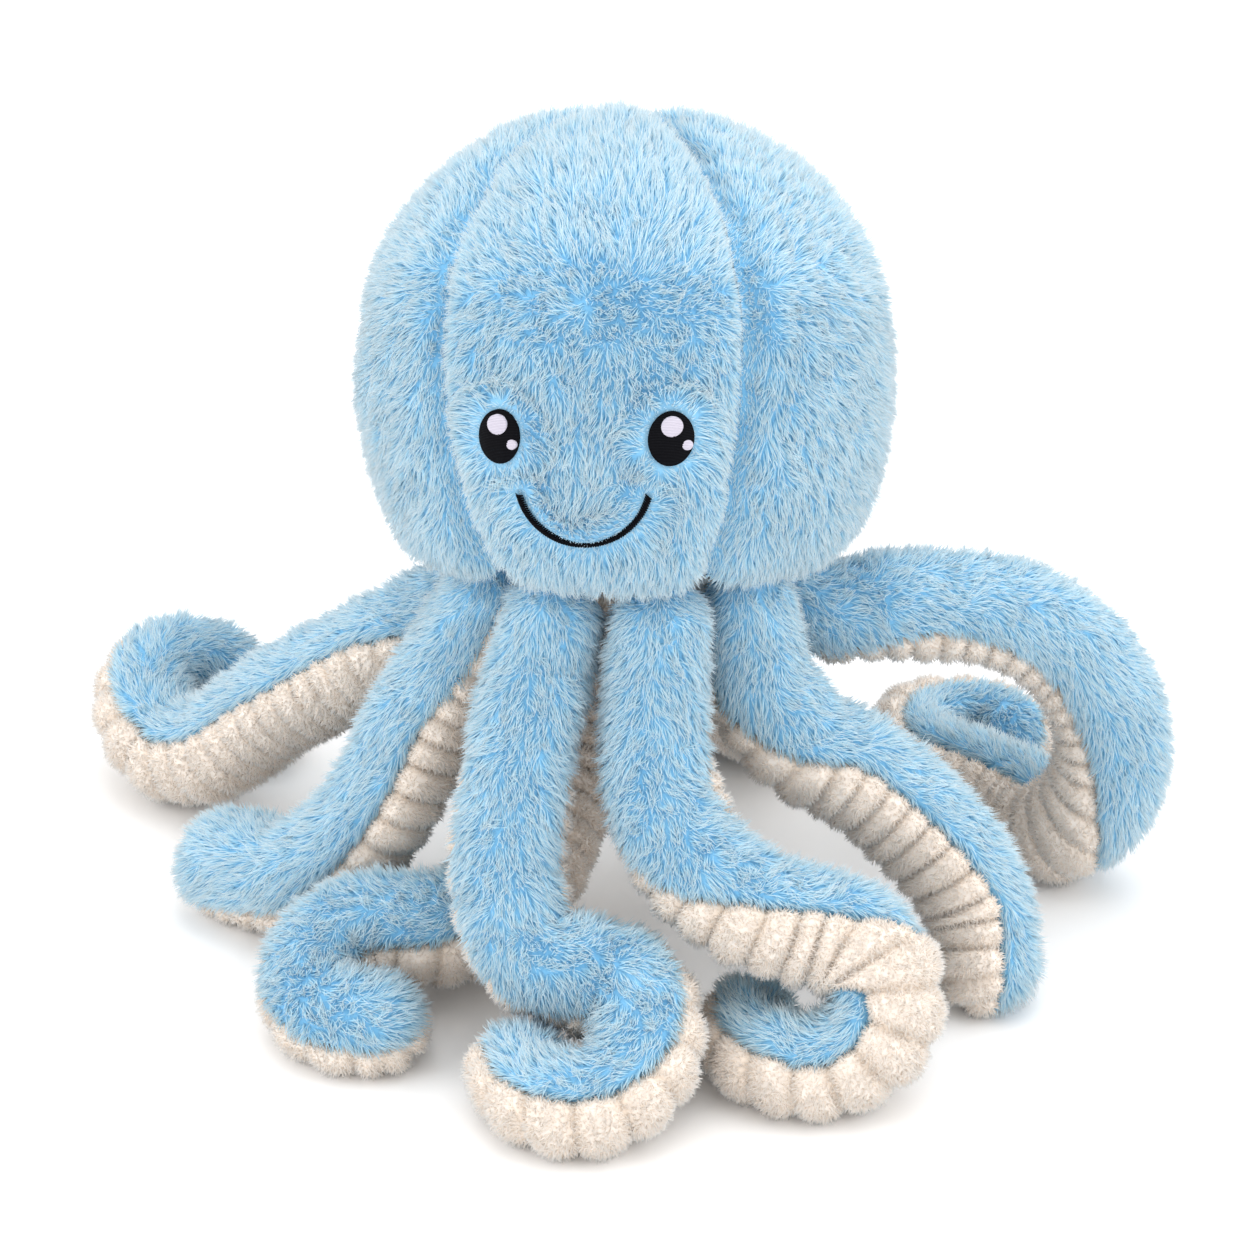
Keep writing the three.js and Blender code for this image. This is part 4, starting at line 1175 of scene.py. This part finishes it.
def white_studio():
    world = bpy.data.worlds.new("studio")
    bpy.context.scene.world = world
    world.use_nodes = True
    around = world.node_tree.nodes["Background"]
    around.inputs["Color"].default_value = (1.0, 1.0, 1.0, 1)
    around.inputs["Strength"].default_value = 1.0
    for name, given in LAMPS.items():
        lamp = bpy.data.lights.new(name, "AREA")
        lamp.size = given["size"]
        lamp.energy = given["power"]
        aimed(lamp, name, given["place"], LAMP_AIM)


def pale_floor():
    corners = [(x * FLOOR_REACH, y * FLOOR_REACH, 0) for x, y in ((-1, -1), (1, -1), (1, 1), (-1, 1))]
    floor = mesh_piece("floor", corners, [(0, 1, 2, 3)])
    finish, tree, shader = material("pale_floor")
    spot = linked(tree, "ShaderNodeTexCoord")
    grain = linked(tree, "ShaderNodeTexNoise", inputs={"Vector": spot.outputs["Object"], "Scale": 3.0})
    tree.links.new(ramp(tree, grain.outputs[0], FLOOR_TONES), shader.inputs["Base Color"])
    shader.inputs["Roughness"].default_value = 0.9
    shader.inputs["Specular IOR Level"].default_value = 0.1
    floor.data.materials.append(finish)


photo_camera()
white_studio()
pale_floor()


# Making it and joining it up

def finished(piece, body, nodes):
    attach(piece, body)
    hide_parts(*nodes)


for index, node in enumerate(PANEL_NODES):
    nodes = [node, "head_filling"] if index == 0 else [node]
    finished(head_panel(index, 30 + index), "head", nodes)
finished(base_patch(), "head", ["base_panel"])

for number, leg in enumerate(LEGS):
    finished(blue_cover(leg, 50 + number), leg, [leg + "_top", leg + "_filling"])
    finished(cream_cover(leg, 60 + number), leg, [leg + "_underside"])

for side, label in ((-1, "left"), (1, "right")):
    middle = side * EYE_SPACING / 2
    eye = satin_oval(label + "_sewn_eye", (middle, 0), EYE_WIDTH - EYE_RIM_ACROSS, EYE_HEIGHT - EYE_RIM_UP,
                     padding=0.0016, lift=0.0010, finish=BLACK_THREAD)
    finished(eye, "head", [label + "_eye"])
    glint = satin_oval(label + "_sewn_glint", (middle, GLINT_UP * EYE_HEIGHT), GLINT_DIAMETER, GLINT_DIAMETER,
                       padding=0.0005, lift=0.0025, finish=WHITE_THREAD, rings=10, segments=40)
    finished(glint, "head", [label + "_eye_glint"])
    small_place = (middle + SMALL_GLINT_ASIDE * EYE_WIDTH, -SMALL_GLINT_DOWN * EYE_HEIGHT)
    small = satin_oval(label + "_sewn_small_glint", small_place, SMALL_GLINT_DIAMETER, SMALL_GLINT_DIAMETER,
                       padding=0.0004, lift=0.0022, finish=WHITE_THREAD, rings=8, segments=28)
    finished(small, "head", [label + "_eye_small_glint"])
finished(sewn_smile(), "head", ["mouth"])

for shape in (LONG_HAIR, SHORT_HAIR):
    bpy.data.objects.remove(shape)
